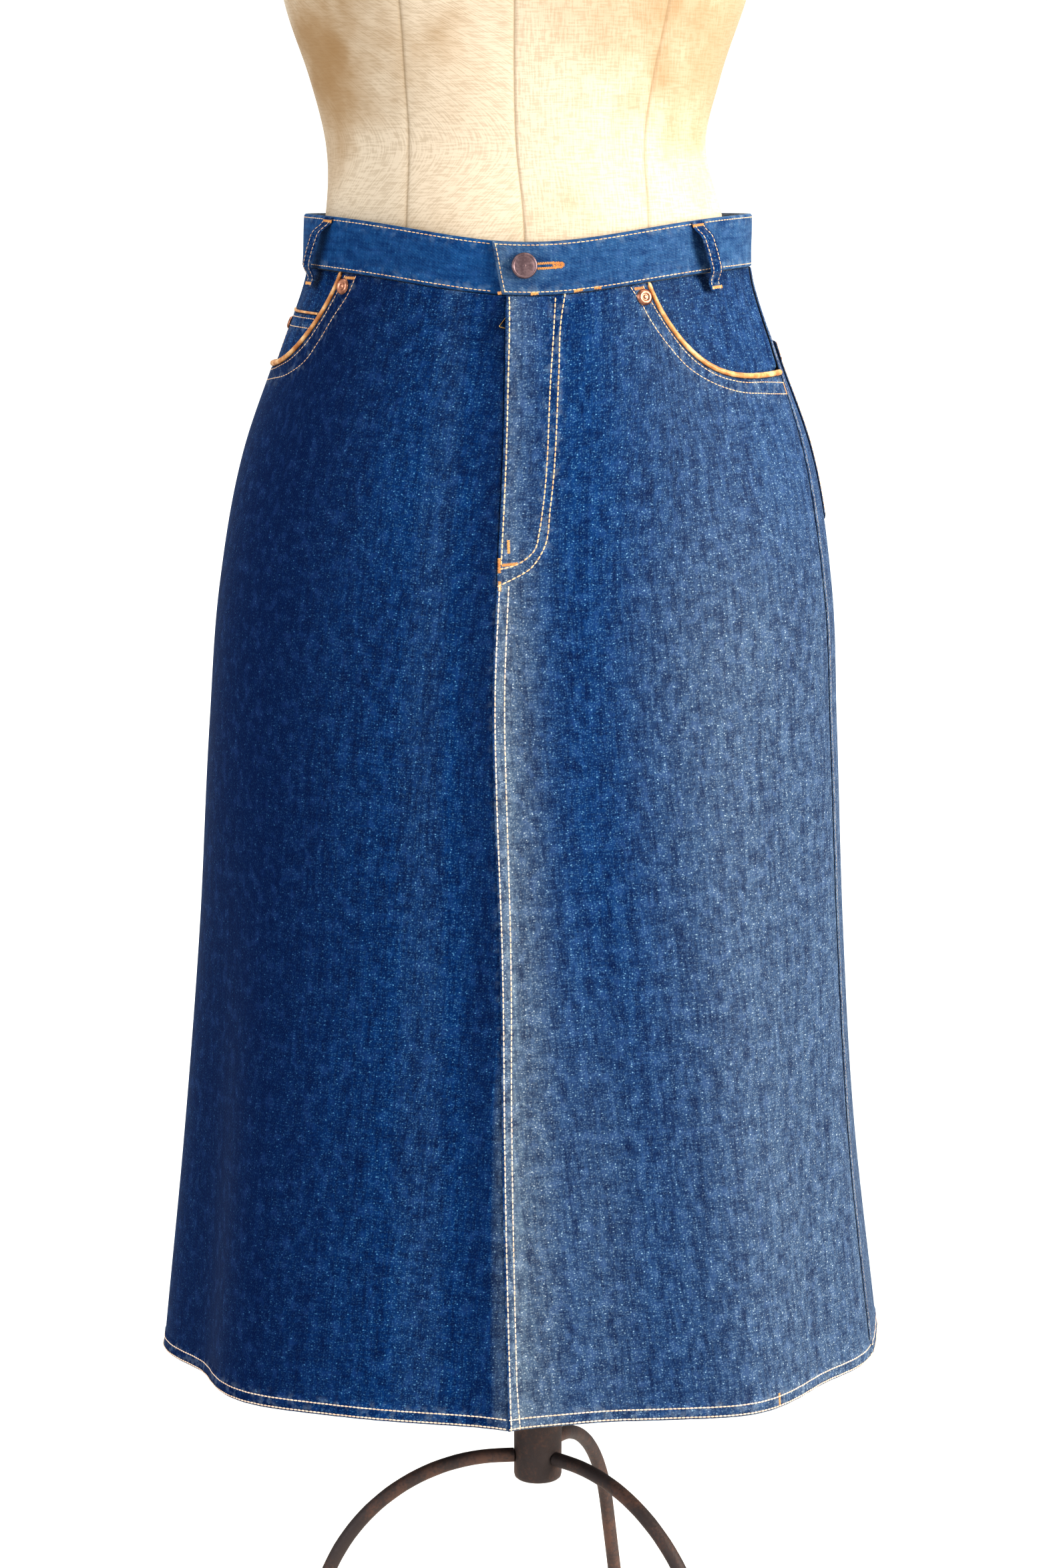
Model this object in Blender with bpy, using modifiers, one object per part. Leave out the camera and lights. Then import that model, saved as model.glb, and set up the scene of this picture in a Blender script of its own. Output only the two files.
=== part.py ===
"""A denim skirt with a fly front, on a limbless dress form that stands on an iron tripod.

Lengths are metres. +Z is up, the front faces -Y, and left and right are the wearer's.
A place on the skirt is an angle round it, in degrees from the front and positive towards
the wearer's left, and a drop below the top edge of the waistband.
"""

import math

import bmesh
import bpy
from mathutils import Matrix, Vector

GAP = 0.0003  # between pieces that are sewn or screwed together

# The skirt's outer surface: WAIST is the height of the waistband's top at the front.
WAIST = 1.178
WAIST_DIP = 0.018  # how much lower the waist is at the front than at the sides
LENGTH = 0.802
BAND = 0.036
WALL = 0.0016
WAIST_ROUNDNESS = 2.6  # how suddenly the dip falls towards the front
SEAM_TURN = 0.06  # degrees that a panel stops short of its seam

#     drop   half_width  centre   front    back    squareness
SECTIONS = (
    (0.000, 0.1565, 0.0050, 0.1125, 0.1120, 2.00),
    (0.036, 0.1575, 0.0042, 0.1150, 0.1150, 2.00),
    (0.093, 0.1765, 0.0040, 0.1270, 0.1300, 2.00),
    (0.160, 0.2010, 0.0044, 0.1400, 0.1420, 2.05),
    (0.257, 0.2190, 0.0033, 0.1540, 0.1520, 2.10),
    (0.354, 0.2255, 0.0016, 0.1650, 0.1600, 2.15),
    (0.502, 0.2325, 0.0006, 0.1790, 0.1720, 2.20),
    (0.650, 0.2430, -0.0005, 0.1930, 0.1850, 2.25),
    (0.802, 0.2595, 0.0005, 0.2070, 0.2050, 2.30),
)
# The ridge that the centre front seam makes: drop, height over the plain section.
RIDGE = (
    (0.0, 0.0012), (0.1, 0.0034), (0.2, 0.0066), (0.3, 0.0085), (0.5, 0.0105), (0.802, 0.0130),
)
RIDGE_SPREAD = 7.0  # degrees
#    angle  spread  depth at the hem (out is positive)  drop where it starts
FOLDS = (
    (17.0, 9.0, -0.0045, 0.25),
    (41.0, 9.0, 0.0100, 0.20),
    (62.0, 9.0, -0.0090, 0.25),
    (101.0, 11.0, 0.0080, 0.30),
    (128.0, 12.0, -0.0090, 0.22),
    (153.0, 11.0, 0.0090, 0.28),
    (-50.0, 9.0, 0.0060, 0.30),
    (-68.0, 8.0, -0.0110, 0.35),
    (-83.0, 7.0, 0.0040, 0.30),
    (-113.0, 12.0, -0.0080, 0.24),
    (-140.0, 12.0, 0.0100, 0.26),
    (-163.0, 9.0, -0.0060, 0.32),
)
# Where each seam runs: drop, angle.
SEAMS = {
    "centre_front": (
        (0.0, -7.4), (0.09, -6.6), (0.21, -7.2), (0.30, -7.5),
        (0.374, -6.4), (0.464, -4.9), (0.6, -3.7), (0.802, -2.4),
    ),
    "side_left": (
        (0.0, 87.0), (0.036, 86.0), (0.09, 82.5), (0.166, 78.5), (0.3, 77.5), (0.802, 78.0),
    ),
    "centre_back": ((0.0, 173.0), (0.3, 173.5), (0.802, 176.0)),
    "side_right": ((0.0, -97.0), (0.09, -96.0), (0.2, -93.5), (0.5, -91.0), (0.802, -90.0)),
}
#   panel          from seam        to seam
PANELS = (
    ("front_left", "centre_front", "side_left"),
    ("back_left", "side_left", "centre_back"),
    ("back_right", "centre_back", "side_right"),
    ("front_right", "side_right", "centre_front"),
)
COLUMNS = 14  # facets across a panel
COLUMN_CLEAR = 1.2  # degrees between a patch's edge and its nearest column
ROW_CLEAR = 0.002
ROWS = (
    0.0, 0.018, 0.036, 0.043, 0.050, 0.064, 0.078, 0.092, 0.108, 0.128, 0.155,
    0.19, 0.235, 0.29, 0.36, 0.44, 0.53, 0.62, 0.71, 0.802,
)
TOP_ROW = 2  # the row at the waistband's lower edge

# The waistband: its left end laps over the right one at the front.
BAND_FACE = 0.0012  # it stands this far out of the panels' surface
BAND_THICK = 0.0024
LAP_ANGLE = -12.5
LAP_SLANT = 4.0
UNDERLAP_ANGLE = 375.0
UNDERLAP_SINK = 0.0028
SINK_START = 333.0
SINK_TURN = 12.0
BAND_STEP = 5.8  # degrees from one column of the band to the next

# The front pockets: a curved opening, a facing behind it, and piping round its edge.
#   side     start angle  end drop
POCKETS = {"left": (39.5, 0.109), "right": (-61.8, 0.104)}
OPENING_POWER = 4.3
FACING_FACE = -0.0040
FACING_THICK = 0.0014
FACING_FOOT = 0.140
FACING_INSIDE = 5.0
PIPING_RADIUS = 0.0012
PIPING_ABOVE = 0.0017
PIPING_SINK = 0.0002
PIPING_START = 0.0012
SCOOP_STEPS = 12
SCOOP_CROWDING = 1.7  # above 1, the scoop's columns lie closer near its start
RIVET_DROP = 0.0455
RIVET_OUT = 0.0005
RIVET_INSIDE = 1.0

COIN_TOP = 0.066
COIN_FOOT = 0.128
COIN_ANGLES = (-93.5, -68.0)
COIN_FACE = -0.0024
COIN_RIVET_INSIDE = 2.4  # degrees
COIN_RIVET_BELOW = 0.008
COIN_THICK = 0.0012
COIN_PIPING_RADIUS = 0.0009
COIN_PIPING_FACE = -0.0026

BACK_POCKET_TOP = 0.088
BACK_POCKET_SIDE = 0.210
BACK_POCKET_POINT = 0.235
BACK_POCKET_FACE = 0.0018
BACK_POCKET_THICK = 0.0013
#   side    the angles of its two edges
BACK_POCKETS = {"left": (90.0, 144.0), "right": (203.0, 255.5)}

#   loop              angle at its top, at its foot
LOOPS = {
    "loop_front_left": (56.3, 62.5),
    "loop_front_right": (-67.9, -75.6),
    "loop_back_left": (130.0, 130.0),
    "loop_back_right": (-143.0, -143.0),
    "loop_back_centre": (173.5, 173.5),
}
LOOP_WIDTH = 0.011
LOOP_THICK = 0.0013
#    drop   inner face above the panels' surface
LOOP_ARCH = (
    (0.0005, 0.0017), (0.005, 0.0020), (0.010, 0.0072), (0.018, 0.0088),
    (0.028, 0.0088), (0.036, 0.0072), (0.043, 0.0012), (0.049, 0.0006),
)

# The fly: the left front's edge stands off the right one to make room for the zip.
FLY_SPREAD = 16.0  # degrees from the edge to where the lift has died away
FLY_LIFT = (
    (0.036, 0.0014), (0.043, 0.0058), (0.050, 0.0065), (0.064, 0.0062),
    (0.085, 0.0030), (0.13, 0.0020), (0.19, 0.0014), (0.222, 0.0),
)
FLY_END = 0.222
SHIELD_FACE = -0.0046
SHIELD_THICK = 0.0014
TAPE_FACE = -0.0034
TAPE_THICK = 0.0008
SHIELD_REACH = (-0.016, 0.026)  # to the right and left of the zip's middle line
TAPE_REACH = 0.011
ZIP_SHORT = 0.006  # the shield and the tape end above the fly's end
SLIDER_EDGE = 0.0006
SLIDER_CLEAR = 0.0005  # between the slider's middle and the tape, which is curved
BRIDGE_INSET = 0.0016
BRIDGE_SUNK = 0.0008
PULL_CORNER = 0.0009
ZIP_OFFSET = 0.0041  # the zip's middle lies this far inside the fly's edge
CHAIN_WIDTH = 0.0042
CHAIN_TOP = -0.0008
CHAIN_END = 0.188
SLIDER_DROP = 0.0465
SLIDER = (0.0066, 0.0100, 0.0029)  # width, length, height
BRIDGE_RADIUS = 0.0006
BRIDGE_RISE = 0.0029
PULL_WIRE = 0.00052
PULL_TILT = 10.0
PULL_TOP, PULL_BASE, PULL_LENGTH, PULL_NECK = 0.0040, 0.0124, 0.0125, 0.0035

BUTTON_PLACE = (-1.2, 0.0162)
#        radius  height
BUTTON_PROFILE = (
    (0.0, 0.0056), (0.0030, 0.0055), (0.0060, 0.0051), (0.0066, 0.0049), (0.0072, 0.0053),
    (0.0083, 0.0050), (0.0088, 0.0040), (0.0084, 0.0028), (0.0060, 0.0022), (0.0035, 0.0020),
    (0.0032, 0.0), (0.0, 0.0),
)
RIVET_PROFILE = (
    (0.0, 0.0015), (0.0011, 0.0016), (0.0017, 0.0011), (0.0026, 0.0016), (0.0039, 0.0011),
    (0.0045, 0.0004), (0.0044, 0.0), (0.0, 0.0),
)
POCKET_RIVET_SPREAD = 1.18

# The dress form. WAISTLINE is the height of its narrowest section.
WAISTLINE = 1.243
#    above  half_width  centre  front   back   squareness
FORM = (
    (-0.278, 0.1540, 0.0030, 0.1020, 0.1080, 2.1),
    (-0.262, 0.1610, 0.0030, 0.1060, 0.1160, 2.1),
    (-0.210, 0.1670, 0.0036, 0.1100, 0.1230, 2.1),
    (-0.150, 0.1615, 0.0036, 0.1105, 0.1200, 2.1),
    (-0.095, 0.1480, 0.0032, 0.1070, 0.1090, 2.1),
    (-0.050, 0.1400, 0.0020, 0.1040, 0.1040, 2.1),
    (0.000, 0.1334, -0.0030, 0.0980, 0.0940, 2.1),
    (0.046, 0.1437, -0.0043, 0.1030, 0.0960, 2.1),
    (0.101, 0.1617, -0.0040, 0.1150, 0.1020, 2.2),
    (0.170, 0.1740, -0.0038, 0.1400, 0.1100, 2.3),
    (0.240, 0.1850, -0.0035, 0.1240, 0.1150, 2.4),
    (0.290, 0.1880, -0.0030, 0.1030, 0.1130, 2.4),
    (0.325, 0.1760, -0.0030, 0.0880, 0.1040, 2.3),
    (0.350, 0.1380, -0.0030, 0.0760, 0.0920, 2.1),
    (0.368, 0.0920, -0.0030, 0.0660, 0.0780, 2.0),
    (0.385, 0.0650, -0.0030, 0.0590, 0.0640, 2.0),
    (0.420, 0.0560, -0.0030, 0.0540, 0.0560, 2.0),
)
FORM_SIDES = 40
FORM_RINGS = 26
CAP_RADIUS = 0.058
CAP_HEIGHT = 0.014
BASE_HEIGHT = 0.012
BASE_INSET = 0.012

# The iron stand.
POLE = Vector((0.0125, 0.0075, 0.0))
POLE_RADIUS = 0.011
HUB_BOTTOM = 0.262
#        radius  height above the hub's bottom
HUB_PROFILE = (
    (0.0, 0.074), (0.0155, 0.074), (0.0178, 0.071), (0.0178, 0.004), (0.0150, 0.0), (0.0, 0.0),
)
LEG_RADIUS = 0.00525
LEG_HEIGHT = 0.280
LEG_RUN = 0.030  # where the bend starts, from the pole's middle
LEG_BEND = 0.138
LEG_SWEEP = 72.0
FOOT_RISE = 0.030  # height over which the rod turns upright above the floor
FOOT_TURN = 0.6  # the share of that height that the turn takes
#    leg            azimuth, from +X towards +Y
LEGS = {"leg_front": -43.0, "leg_back": 70.0, "leg_side": 187.0}

#   material       colour                 roughness metallic
MATERIALS = {
    "denim": ((0.030, 0.085, 0.200, 1.0), 0.90, 0.0),
    "leather": ((0.600, 0.250, 0.080, 1.0), 0.55, 0.0),
    "copper": ((0.480, 0.260, 0.190, 1.0), 0.40, 1.0),
    "antique_copper": ((0.200, 0.140, 0.150, 1.0), 0.45, 1.0),
    "brass": ((0.550, 0.380, 0.160, 1.0), 0.40, 1.0),
    "zip_tape": ((0.050, 0.070, 0.120, 1.0), 0.90, 0.0),
    "linen": ((0.740, 0.610, 0.450, 1.0), 0.95, 0.0),
    "wood": ((0.300, 0.180, 0.090, 1.0), 0.60, 0.0),
    "iron": ((0.060, 0.050, 0.045, 1.0), 0.75, 0.8),
}


# ---------------------------------------------------------------- tables and the surface


def smooth(rows, column, at):
    """The column's value at a place between rows, on a smooth curve through them."""
    last = len(rows) - 1
    at = min(max(at, rows[0][0]), rows[last][0])
    i = max(k for k in range(last) if rows[k][0] <= at)
    keys = [row[0] for row in rows]
    values = [row[column] for row in rows]

    def rate(k):
        return (values[k + 1] - values[k]) / (keys[k + 1] - keys[k])

    def slope(k):
        if k in (0, last):
            return rate(min(k, last - 1))
        before, after = keys[k] - keys[k - 1], keys[k + 1] - keys[k]
        return (after * rate(k - 1) + before * rate(k)) / (before + after)

    span = keys[i + 1] - keys[i]
    t = (at - keys[i]) / span
    return (
        (2 * t**3 - 3 * t**2 + 1) * values[i]
        + (t**3 - 2 * t**2 + t) * span * slope(i)
        + (3 * t**2 - 2 * t**3) * values[i + 1]
        + (t**3 - t**2) * span * slope(i + 1)
    )


def ease(t):
    t = min(max(t, 0.0), 1.0)
    return t * t * (3 - 2 * t)


def turn_between(a, b):
    """The turn from b to a, from -180 to 180 degrees."""
    return (a - b + 180.0) % 360.0 - 180.0


def seam_angle(seam, drop):
    return smooth(SEAMS[seam], 1, drop)


def skirt_radius(angle, drop):
    """The distance of the plain section's edge from its middle, with the ridge and folds."""
    side = abs(math.sin(math.radians(angle)))
    ahead = math.cos(math.radians(angle))
    depth = smooth(SECTIONS, 3 if ahead >= 0 else 4, drop)
    power = smooth(SECTIONS, 5, drop)
    half_width = smooth(SECTIONS, 1, drop)
    radius = ((side / half_width) ** power + (abs(ahead) / depth) ** power) ** (-1 / power)
    off_seam = abs(turn_between(angle, seam_angle("centre_front", drop)))
    radius += smooth(RIDGE, 1, drop) * math.exp(-off_seam / RIDGE_SPREAD)
    for place, spread, depth_at_hem, start in FOLDS:
        grown = ease((drop - start) / (LENGTH - start))
        radius += depth_at_hem * grown * math.exp(-((turn_between(angle, place) / spread) ** 2))
    return radius


def skirt_point(angle, drop):
    turn = math.radians(angle)
    radius = skirt_radius(angle, drop)
    top = WAIST + WAIST_DIP * (1 - max(math.cos(turn), 0.0) ** WAIST_ROUNDNESS)
    height = top - drop * (top - WAIST + LENGTH) / LENGTH
    middle = smooth(SECTIONS, 2, drop)
    return Vector((middle + radius * math.sin(turn), -radius * math.cos(turn), height))


def skirt_normal(angle, drop):
    """Outward, from points a little to each side."""
    low, high = max(drop - 0.006, 0.0), min(drop + 0.006, LENGTH)
    across = skirt_point(angle + 2.0, drop) - skirt_point(angle - 2.0, drop)
    down = skirt_point(angle, high) - skirt_point(angle, low)
    return down.cross(across).normalized()


LATTICE = {}


def lattice(panel, column, row):
    """The surface point and its normal where a column and a row of a panel's facets meet."""
    key = (panel, column, row)
    if key not in LATTICE:
        _, start, end = PANELS[panel]
        first, last = seam_angle(start, ROWS[row]), seam_angle(end, ROWS[row])
        last += 360.0 * (last < first)
        angle = first + (last - first) * column / COLUMNS
        LATTICE[key] = (skirt_point(angle, ROWS[row]), skirt_normal(angle, ROWS[row]))
    return LATTICE[key]


def panel_place(angle, drop):
    """The panel at this angle and how far across it the angle is, from 0 to 1."""
    for panel, (_, start, end) in enumerate(PANELS):
        first = seam_angle(start, drop)
        width = (seam_angle(end, drop) - first) % 360.0
        across = (angle - first) % 360.0
        if across < width:
            return panel, across / width
    return len(PANELS) - 1, 1.0


def cloth(angle, drop, out=0.0):
    """A point on the faceted skirt, moved out along its normal, so that layers keep clear."""
    panel, across = panel_place(angle, drop)
    column = min(int(across * COLUMNS), COLUMNS - 1)
    row = max(k for k in range(len(ROWS) - 1) if ROWS[k] <= drop or k == 0)
    s = across * COLUMNS - column
    t = (drop - ROWS[row]) / (ROWS[row + 1] - ROWS[row])
    corners = (
        (column, row, (1 - s) * (1 - t)), (column + 1, row, s * (1 - t)),
        (column, row + 1, (1 - s) * t), (column + 1, row + 1, s * t),
    )
    found = Vector((0.0, 0.0, 0.0))
    for at_column, at_row, weight in corners:
        place, normal = lattice(panel, at_column, at_row)
        found += (place + normal * out) * weight
    return found


def degrees_across(length, angle, drop):
    """The angle that a length along the skirt takes up."""
    step = (skirt_point(angle + 1.0, drop) - skirt_point(angle - 1.0, drop)).length / 2
    return length / step


# ---------------------------------------------------------------- making objects


def start_collection(name):
    collection = bpy.data.collections.new(name)
    bpy.context.scene.collection.children.link(collection)
    return collection


def make_materials():
    made = {}
    for name, (colour, roughness, metallic) in MATERIALS.items():
        made[name] = bpy.data.materials.new(name)
        made[name].use_nodes = True
        shader = made[name].node_tree.nodes["Principled BSDF"]
        shader.inputs["Base Color"].default_value = colour
        shader.inputs["Roughness"].default_value = roughness
        shader.inputs["Metallic"].default_value = metallic
    return made


def add_mesh(name, points, faces, material):
    mesh = bpy.data.meshes.new(name)
    mesh.from_pydata(points, [], faces)
    return add_object(name, mesh, material)


def add_object(name, data, material):
    made = bpy.data.objects.new(name, data)
    made.data.materials.append(MADE[material])
    PARTS.objects.link(made)
    return made


def shade_smooth(made, angle=35.0):
    made.data.shade_smooth()
    made.data.set_sharp_from_angle(angle=math.radians(angle))


def loft(name, rings, material):
    """A closed body through rings of equal counts, the first and last filled."""
    sides = len(rings[0])
    points = [point for ring in rings for point in ring]
    faces = [tuple(reversed(range(sides)))]
    for ring in range(len(rings) - 1):
        for k in range(sides):
            a, b = ring * sides + k, ring * sides + (k + 1) % sides
            faces.append((a, b, b + sides, a + sides))
    faces.append(tuple(range((len(rings) - 1) * sides, len(rings) * sides)))
    return add_mesh(name, points, faces, material)


def wall(name, sheet, face, thick, material="denim"):
    """A cloth wall. sheet holds columns of (angle, drop), top to bottom, turning leftwards.

    face gives how far the outer side stands out of the skirt's surface at a place.
    """
    rows = len(sheet[0])
    outer = [cloth(a, d, face(a, d)) for column in sheet for a, d in column]
    inner = [cloth(a, d, face(a, d) - thick) for column in sheet for a, d in column]
    count = len(outer)
    faces = []
    for column in range(len(sheet) - 1):
        for row in range(rows - 1):
            a = column * rows + row
            quad = (a, a + 1, a + rows + 1, a + rows)
            faces.append(quad)
            faces.append(tuple(count + k for k in reversed(quad)))
    last = (len(sheet) - 1) * rows
    rim = list(range(rows))
    rim += [column * rows + rows - 1 for column in range(1, len(sheet))]
    rim += list(range(last + rows - 2, last - 1, -1))
    rim += [column * rows for column in range(len(sheet) - 2, 0, -1)]
    for k, a in enumerate(rim):
        b = rim[(k + 1) % len(rim)]
        faces.append((b, a, count + a, count + b))
    return add_mesh(name, outer + inner, faces, material)


def flat_face(height):
    """A face that stands the same distance off the skirt everywhere."""
    return lambda angle, drop: height


def tube(name, points, radius, material, sides=2, cyclic=False):
    """A round rod along the points, with closed ends."""
    curve = bpy.data.curves.new(name, "CURVE")
    curve.dimensions = "3D"
    curve.bevel_depth = radius
    curve.bevel_resolution = sides
    curve.use_fill_caps = True
    spline = curve.splines.new("POLY")
    spline.points.add(len(points) - 1)
    for place, point in zip(spline.points, points):
        place.co = (*point, 1.0)
    spline.use_cyclic_u = cyclic
    return add_object(name, curve, material)


def turned(name, profile, steps, material, place):
    """A round piece about its own Z, from a profile that runs down its outer side."""
    mesh = bpy.data.meshes.new(name)
    points = [(radius, 0.0, height) for radius, height in profile]
    mesh.from_pydata(points, [(k, k + 1) for k in range(len(points) - 1)], [])
    made = add_object(name, mesh, material)
    screw = made.modifiers.new("turn", "SCREW")
    screw.steps = steps
    screw.render_steps = steps
    screw.use_merge_vertices = True
    screw.merge_threshold = 0.00005
    made.matrix_world = place
    return made


def facing_out(angle, drop, out, spin=0.0):
    """A frame on the skirt: Z outwards, Y up the cloth, spun about Z by some degrees."""
    outwards = skirt_normal(angle, drop)
    upwards = (skirt_point(angle, drop - 0.005) - skirt_point(angle, drop + 0.005)).normalized()
    across = upwards.cross(outwards).normalized()
    turn = Matrix((across, outwards.cross(across), outwards)).transposed().to_4x4()
    return (
        Matrix.Translation(cloth(angle, drop, out))
        @ turn
        @ Matrix.Rotation(math.radians(spin), 4, "Z")
    )


# ---------------------------------------------------------------- panels and pockets


def opening_drop(side, angle):
    """How far down the panel starts at this angle: the band's edge, or the pocket's curve."""
    start, end_drop = POCKETS[side]
    seam = seam_angle(f"side_{side}", end_drop)
    along = (angle - start) / (seam - start)
    if along <= 0:
        return BAND
    return BAND + (end_drop - BAND) * (1 - max(1 - along, 0.0) ** OPENING_POWER)


def panel_angles(panel, drop):
    """The angles of a panel's two edges, each a little short of its seam."""
    _, start, end = PANELS[panel]
    first, last = seam_angle(start, drop), seam_angle(end, drop)
    last += 360.0 * (last < first)
    return first + SEAM_TURN, last - SEAM_TURN


def panel_sheet(panel, fractions, top):
    """Columns down a panel at these fractions across it. top(angle) is where each starts."""
    sheet = []
    for fraction in fractions:
        start = BAND
        for _ in range(6):
            first, last = panel_angles(panel, start)
            start = top(first + (last - first) * fraction)
        column = []
        for drop in ROWS[TOP_ROW:]:
            drop = start + GAP + (LENGTH - start - GAP) * (drop - BAND) / (LENGTH - BAND)
            first, last = panel_angles(panel, drop)
            column.append((first + (last - first) * fraction, drop))
        sheet.append(column)
    return sheet


def fly_lift(angle, drop):
    """How far the left front's outer face is raised, towards the fly's edge."""
    off_edge = angle - seam_angle("centre_front", drop)
    if drop > FLY_END or off_edge > FLY_SPREAD:
        return 0.0
    return smooth(FLY_LIFT, 1, drop) * (1 - ease(off_edge / FLY_SPREAD))


def scoop_fractions(panel, side):
    """The panel's columns of facets, with closer ones where the pocket's opening turns."""
    first, last = panel_angles(panel, BAND)
    start = (POCKETS[side][0] - first) / (last - first)
    end = 1.0 if side == "left" else 0.0
    close = [
        start + (end - start) * (k / SCOOP_STEPS) ** SCOOP_CROWDING
        for k in range(SCOOP_STEPS + 1)
    ]
    even = [k / COLUMNS for k in range(COLUMNS + 1)]
    inside = [k for k in even if (k - start) * (end - start) < 0 and abs(k - start) > 0.012]
    return sorted(inside + close)


def make_panels():
    """The four panels. Returns the columns of the two fronts, for what follows their edges."""
    even = [k / COLUMNS for k in range(COLUMNS + 1)]
    fronts = {}
    for side, panel, face in (("left", 0, fly_lift), ("right", 3, flat_face(0.0))):
        columns = panel_sheet(
            panel, scoop_fractions(panel, side), lambda angle, at=side: opening_drop(at, angle)
        )
        wall(f"front_{side}", columns, face, WALL)
        fronts[side] = columns
    for side, panel in (("left", 1), ("right", 2)):
        columns = panel_sheet(panel, even, lambda angle: BAND)
        wall(f"back_{side}", columns, flat_face(0.0), WALL)
    return fronts


def patch(panel, first, last, top, bottom):
    """Columns of a patch on a panel: its two edges, and the panel's own columns between.

    first and last give the edges' angles at a drop, and bottom the foot's drop at an angle.
    """
    edges = [bottom(first(top)), bottom(last(top)), bottom((first(top) + last(top)) / 2)]
    drops = [top] + [drop for drop in ROWS if top + ROW_CLEAR < drop < min(edges) - ROW_CLEAR]
    tracks = [first]
    for column in range(1, COLUMNS):
        at = panel_column(panel, column, top)
        if first(top) + COLUMN_CLEAR < at < last(top) - COLUMN_CLEAR:
            tracks.append(lambda drop, of=column: panel_column(panel, of, drop))
    tracks.append(last)
    sheet = []
    for track in tracks:
        foot = bottom(track(top))
        sheet.append([(track(drop), drop) for drop in drops + [foot]])
    return sheet


def panel_column(panel, column, drop):
    """The angle of one of a panel's columns of facets."""
    first, last = panel_angles(panel, drop)
    return first - SEAM_TURN + (last - first + 2 * SEAM_TURN) * column / COLUMNS


def side_of(side, drop):
    """The seam beside a front pocket, and the way from the pocket towards it."""
    way = 1 if side == "left" else -1
    return seam_angle(f"side_{side}", drop) - way * SEAM_TURN, way


def make_facing(side):
    """The piece of the skirt's own cloth that shows inside a front pocket's opening."""
    start, _ = POCKETS[side]
    if side == "left":
        edges = (lambda drop: start - FACING_INSIDE, lambda drop: side_of(side, drop)[0])
    else:
        edges = (lambda drop: side_of(side, drop)[0], lambda drop: start + FACING_INSIDE)
    panel = 0 if side == "left" else 3
    sheet = patch(panel, *edges, BAND + GAP, lambda angle: FACING_FOOT)
    wall(f"pocket_facing_{side}", sheet, flat_face(FACING_FACE), FACING_THICK)


def opening_path(side, columns):
    """The tops of the front's columns in the pocket's opening, moved up clear of the edge."""
    start, _ = POCKETS[side]
    way = side_of(side, BAND)[1]
    tops = [column[0] for column in columns if (column[0][0] - start) * way > -0.1]
    if way < 0:
        tops.reverse()
    places = [cloth(angle, drop) for angle, drop in tops]
    path = []
    for k, (angle, drop) in enumerate(tops):
        before, after = places[max(k - 1, 0)], places[min(k + 1, len(tops) - 1)]
        outwards = skirt_normal(angle, drop)
        above = (after - before).cross(outwards).normalized() * -way
        path.append(places[k] + above * PIPING_ABOVE - outwards * PIPING_SINK)
    path[0] += (path[1] - path[0]).normalized() * PIPING_START
    path[-1] += (path[-2] - path[-1]).normalized() * 2 * GAP
    return path


def make_piping(side, columns):
    path = opening_path(side, columns)
    tube(f"pocket_piping_{side}", path, PIPING_RADIUS, "leather", 1)


def make_coin_pocket():
    first, last = COIN_ANGLES
    sheet = patch(
        3, lambda drop: first, lambda drop: last, COIN_TOP + GAP, lambda angle: COIN_FOOT
    )
    wall("coin_pocket", sheet, flat_face(COIN_FACE), COIN_THICK)
    path = []
    for step in range(9):
        angle = COIN_ANGLES[0] + (COIN_ANGLES[1] - 0.9 - COIN_ANGLES[0]) * step / 8
        path.append(cloth(angle, COIN_TOP - COIN_PIPING_RADIUS - GAP, COIN_PIPING_FACE))
    tube("coin_piping", path, COIN_PIPING_RADIUS, "leather", 1)


def make_back_pocket(side):
    """A patch with a pointed foot."""
    first, last = BACK_POCKETS[side]

    def foot(angle):
        point = 1 - abs(2 * (angle - first) / (last - first) - 1)
        return BACK_POCKET_SIDE + (BACK_POCKET_POINT - BACK_POCKET_SIDE) * point

    panel = 1 if side == "left" else 2
    sheet = patch(panel, lambda drop: first, lambda drop: last, BACK_POCKET_TOP, foot)
    wall(f"back_pocket_{side}", sheet, flat_face(BACK_POCKET_FACE), BACK_POCKET_THICK)


# ---------------------------------------------------------------- waistband and fly


def band_face(angle, drop):
    """The band's outer face. The end that goes under the lap sinks inwards."""
    return BAND_FACE - UNDERLAP_SINK * ease((angle - SINK_START) / SINK_TURN)


def make_waistband():
    """One strip from the lap's end, round the back, to the end that lies under the lap."""
    angles = [LAP_ANGLE]
    count = round((UNDERLAP_ANGLE - LAP_ANGLE) / BAND_STEP)
    for k in range(1, count + 1):
        angles.append(LAP_ANGLE + (UNDERLAP_ANGLE - LAP_ANGLE) * k / count)
    sheet = []
    for k, angle in enumerate(angles):
        column = []
        for drop in (0.0, BAND / 2, BAND):
            slant = LAP_SLANT * drop / BAND if k == 0 else 0.0
            column.append((angle + slant, drop))
        sheet.append(column)
    sheet[1] = [(LAP_ANGLE + LAP_SLANT + 1.6, drop) for _, drop in sheet[1]]
    wall("waistband", sheet, band_face, BAND_THICK)


def make_loop(name, top_angle, foot_angle):
    """A belt loop, caught down at both ends and standing off between them."""
    half = degrees_across(LOOP_WIDTH / 2, top_angle, 0.02)
    sheet = []
    for across in (-1, 0, 1):
        column = []
        for drop, _ in LOOP_ARCH:
            middle = top_angle + (foot_angle - top_angle) * drop / LOOP_ARCH[-1][0]
            column.append((middle + across * half, drop))
        sheet.append(column)
    arch = dict(LOOP_ARCH)
    wall(name, sheet, lambda angle, drop: arch[drop] + LOOP_THICK, LOOP_THICK)


def zip_angle(drop, across=0.0):
    """The angle of the zip's middle line, or of a place some metres to its left."""
    edge = seam_angle("centre_front", drop)
    return edge + degrees_across(ZIP_OFFSET + across, edge + 3.0, drop)


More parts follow.
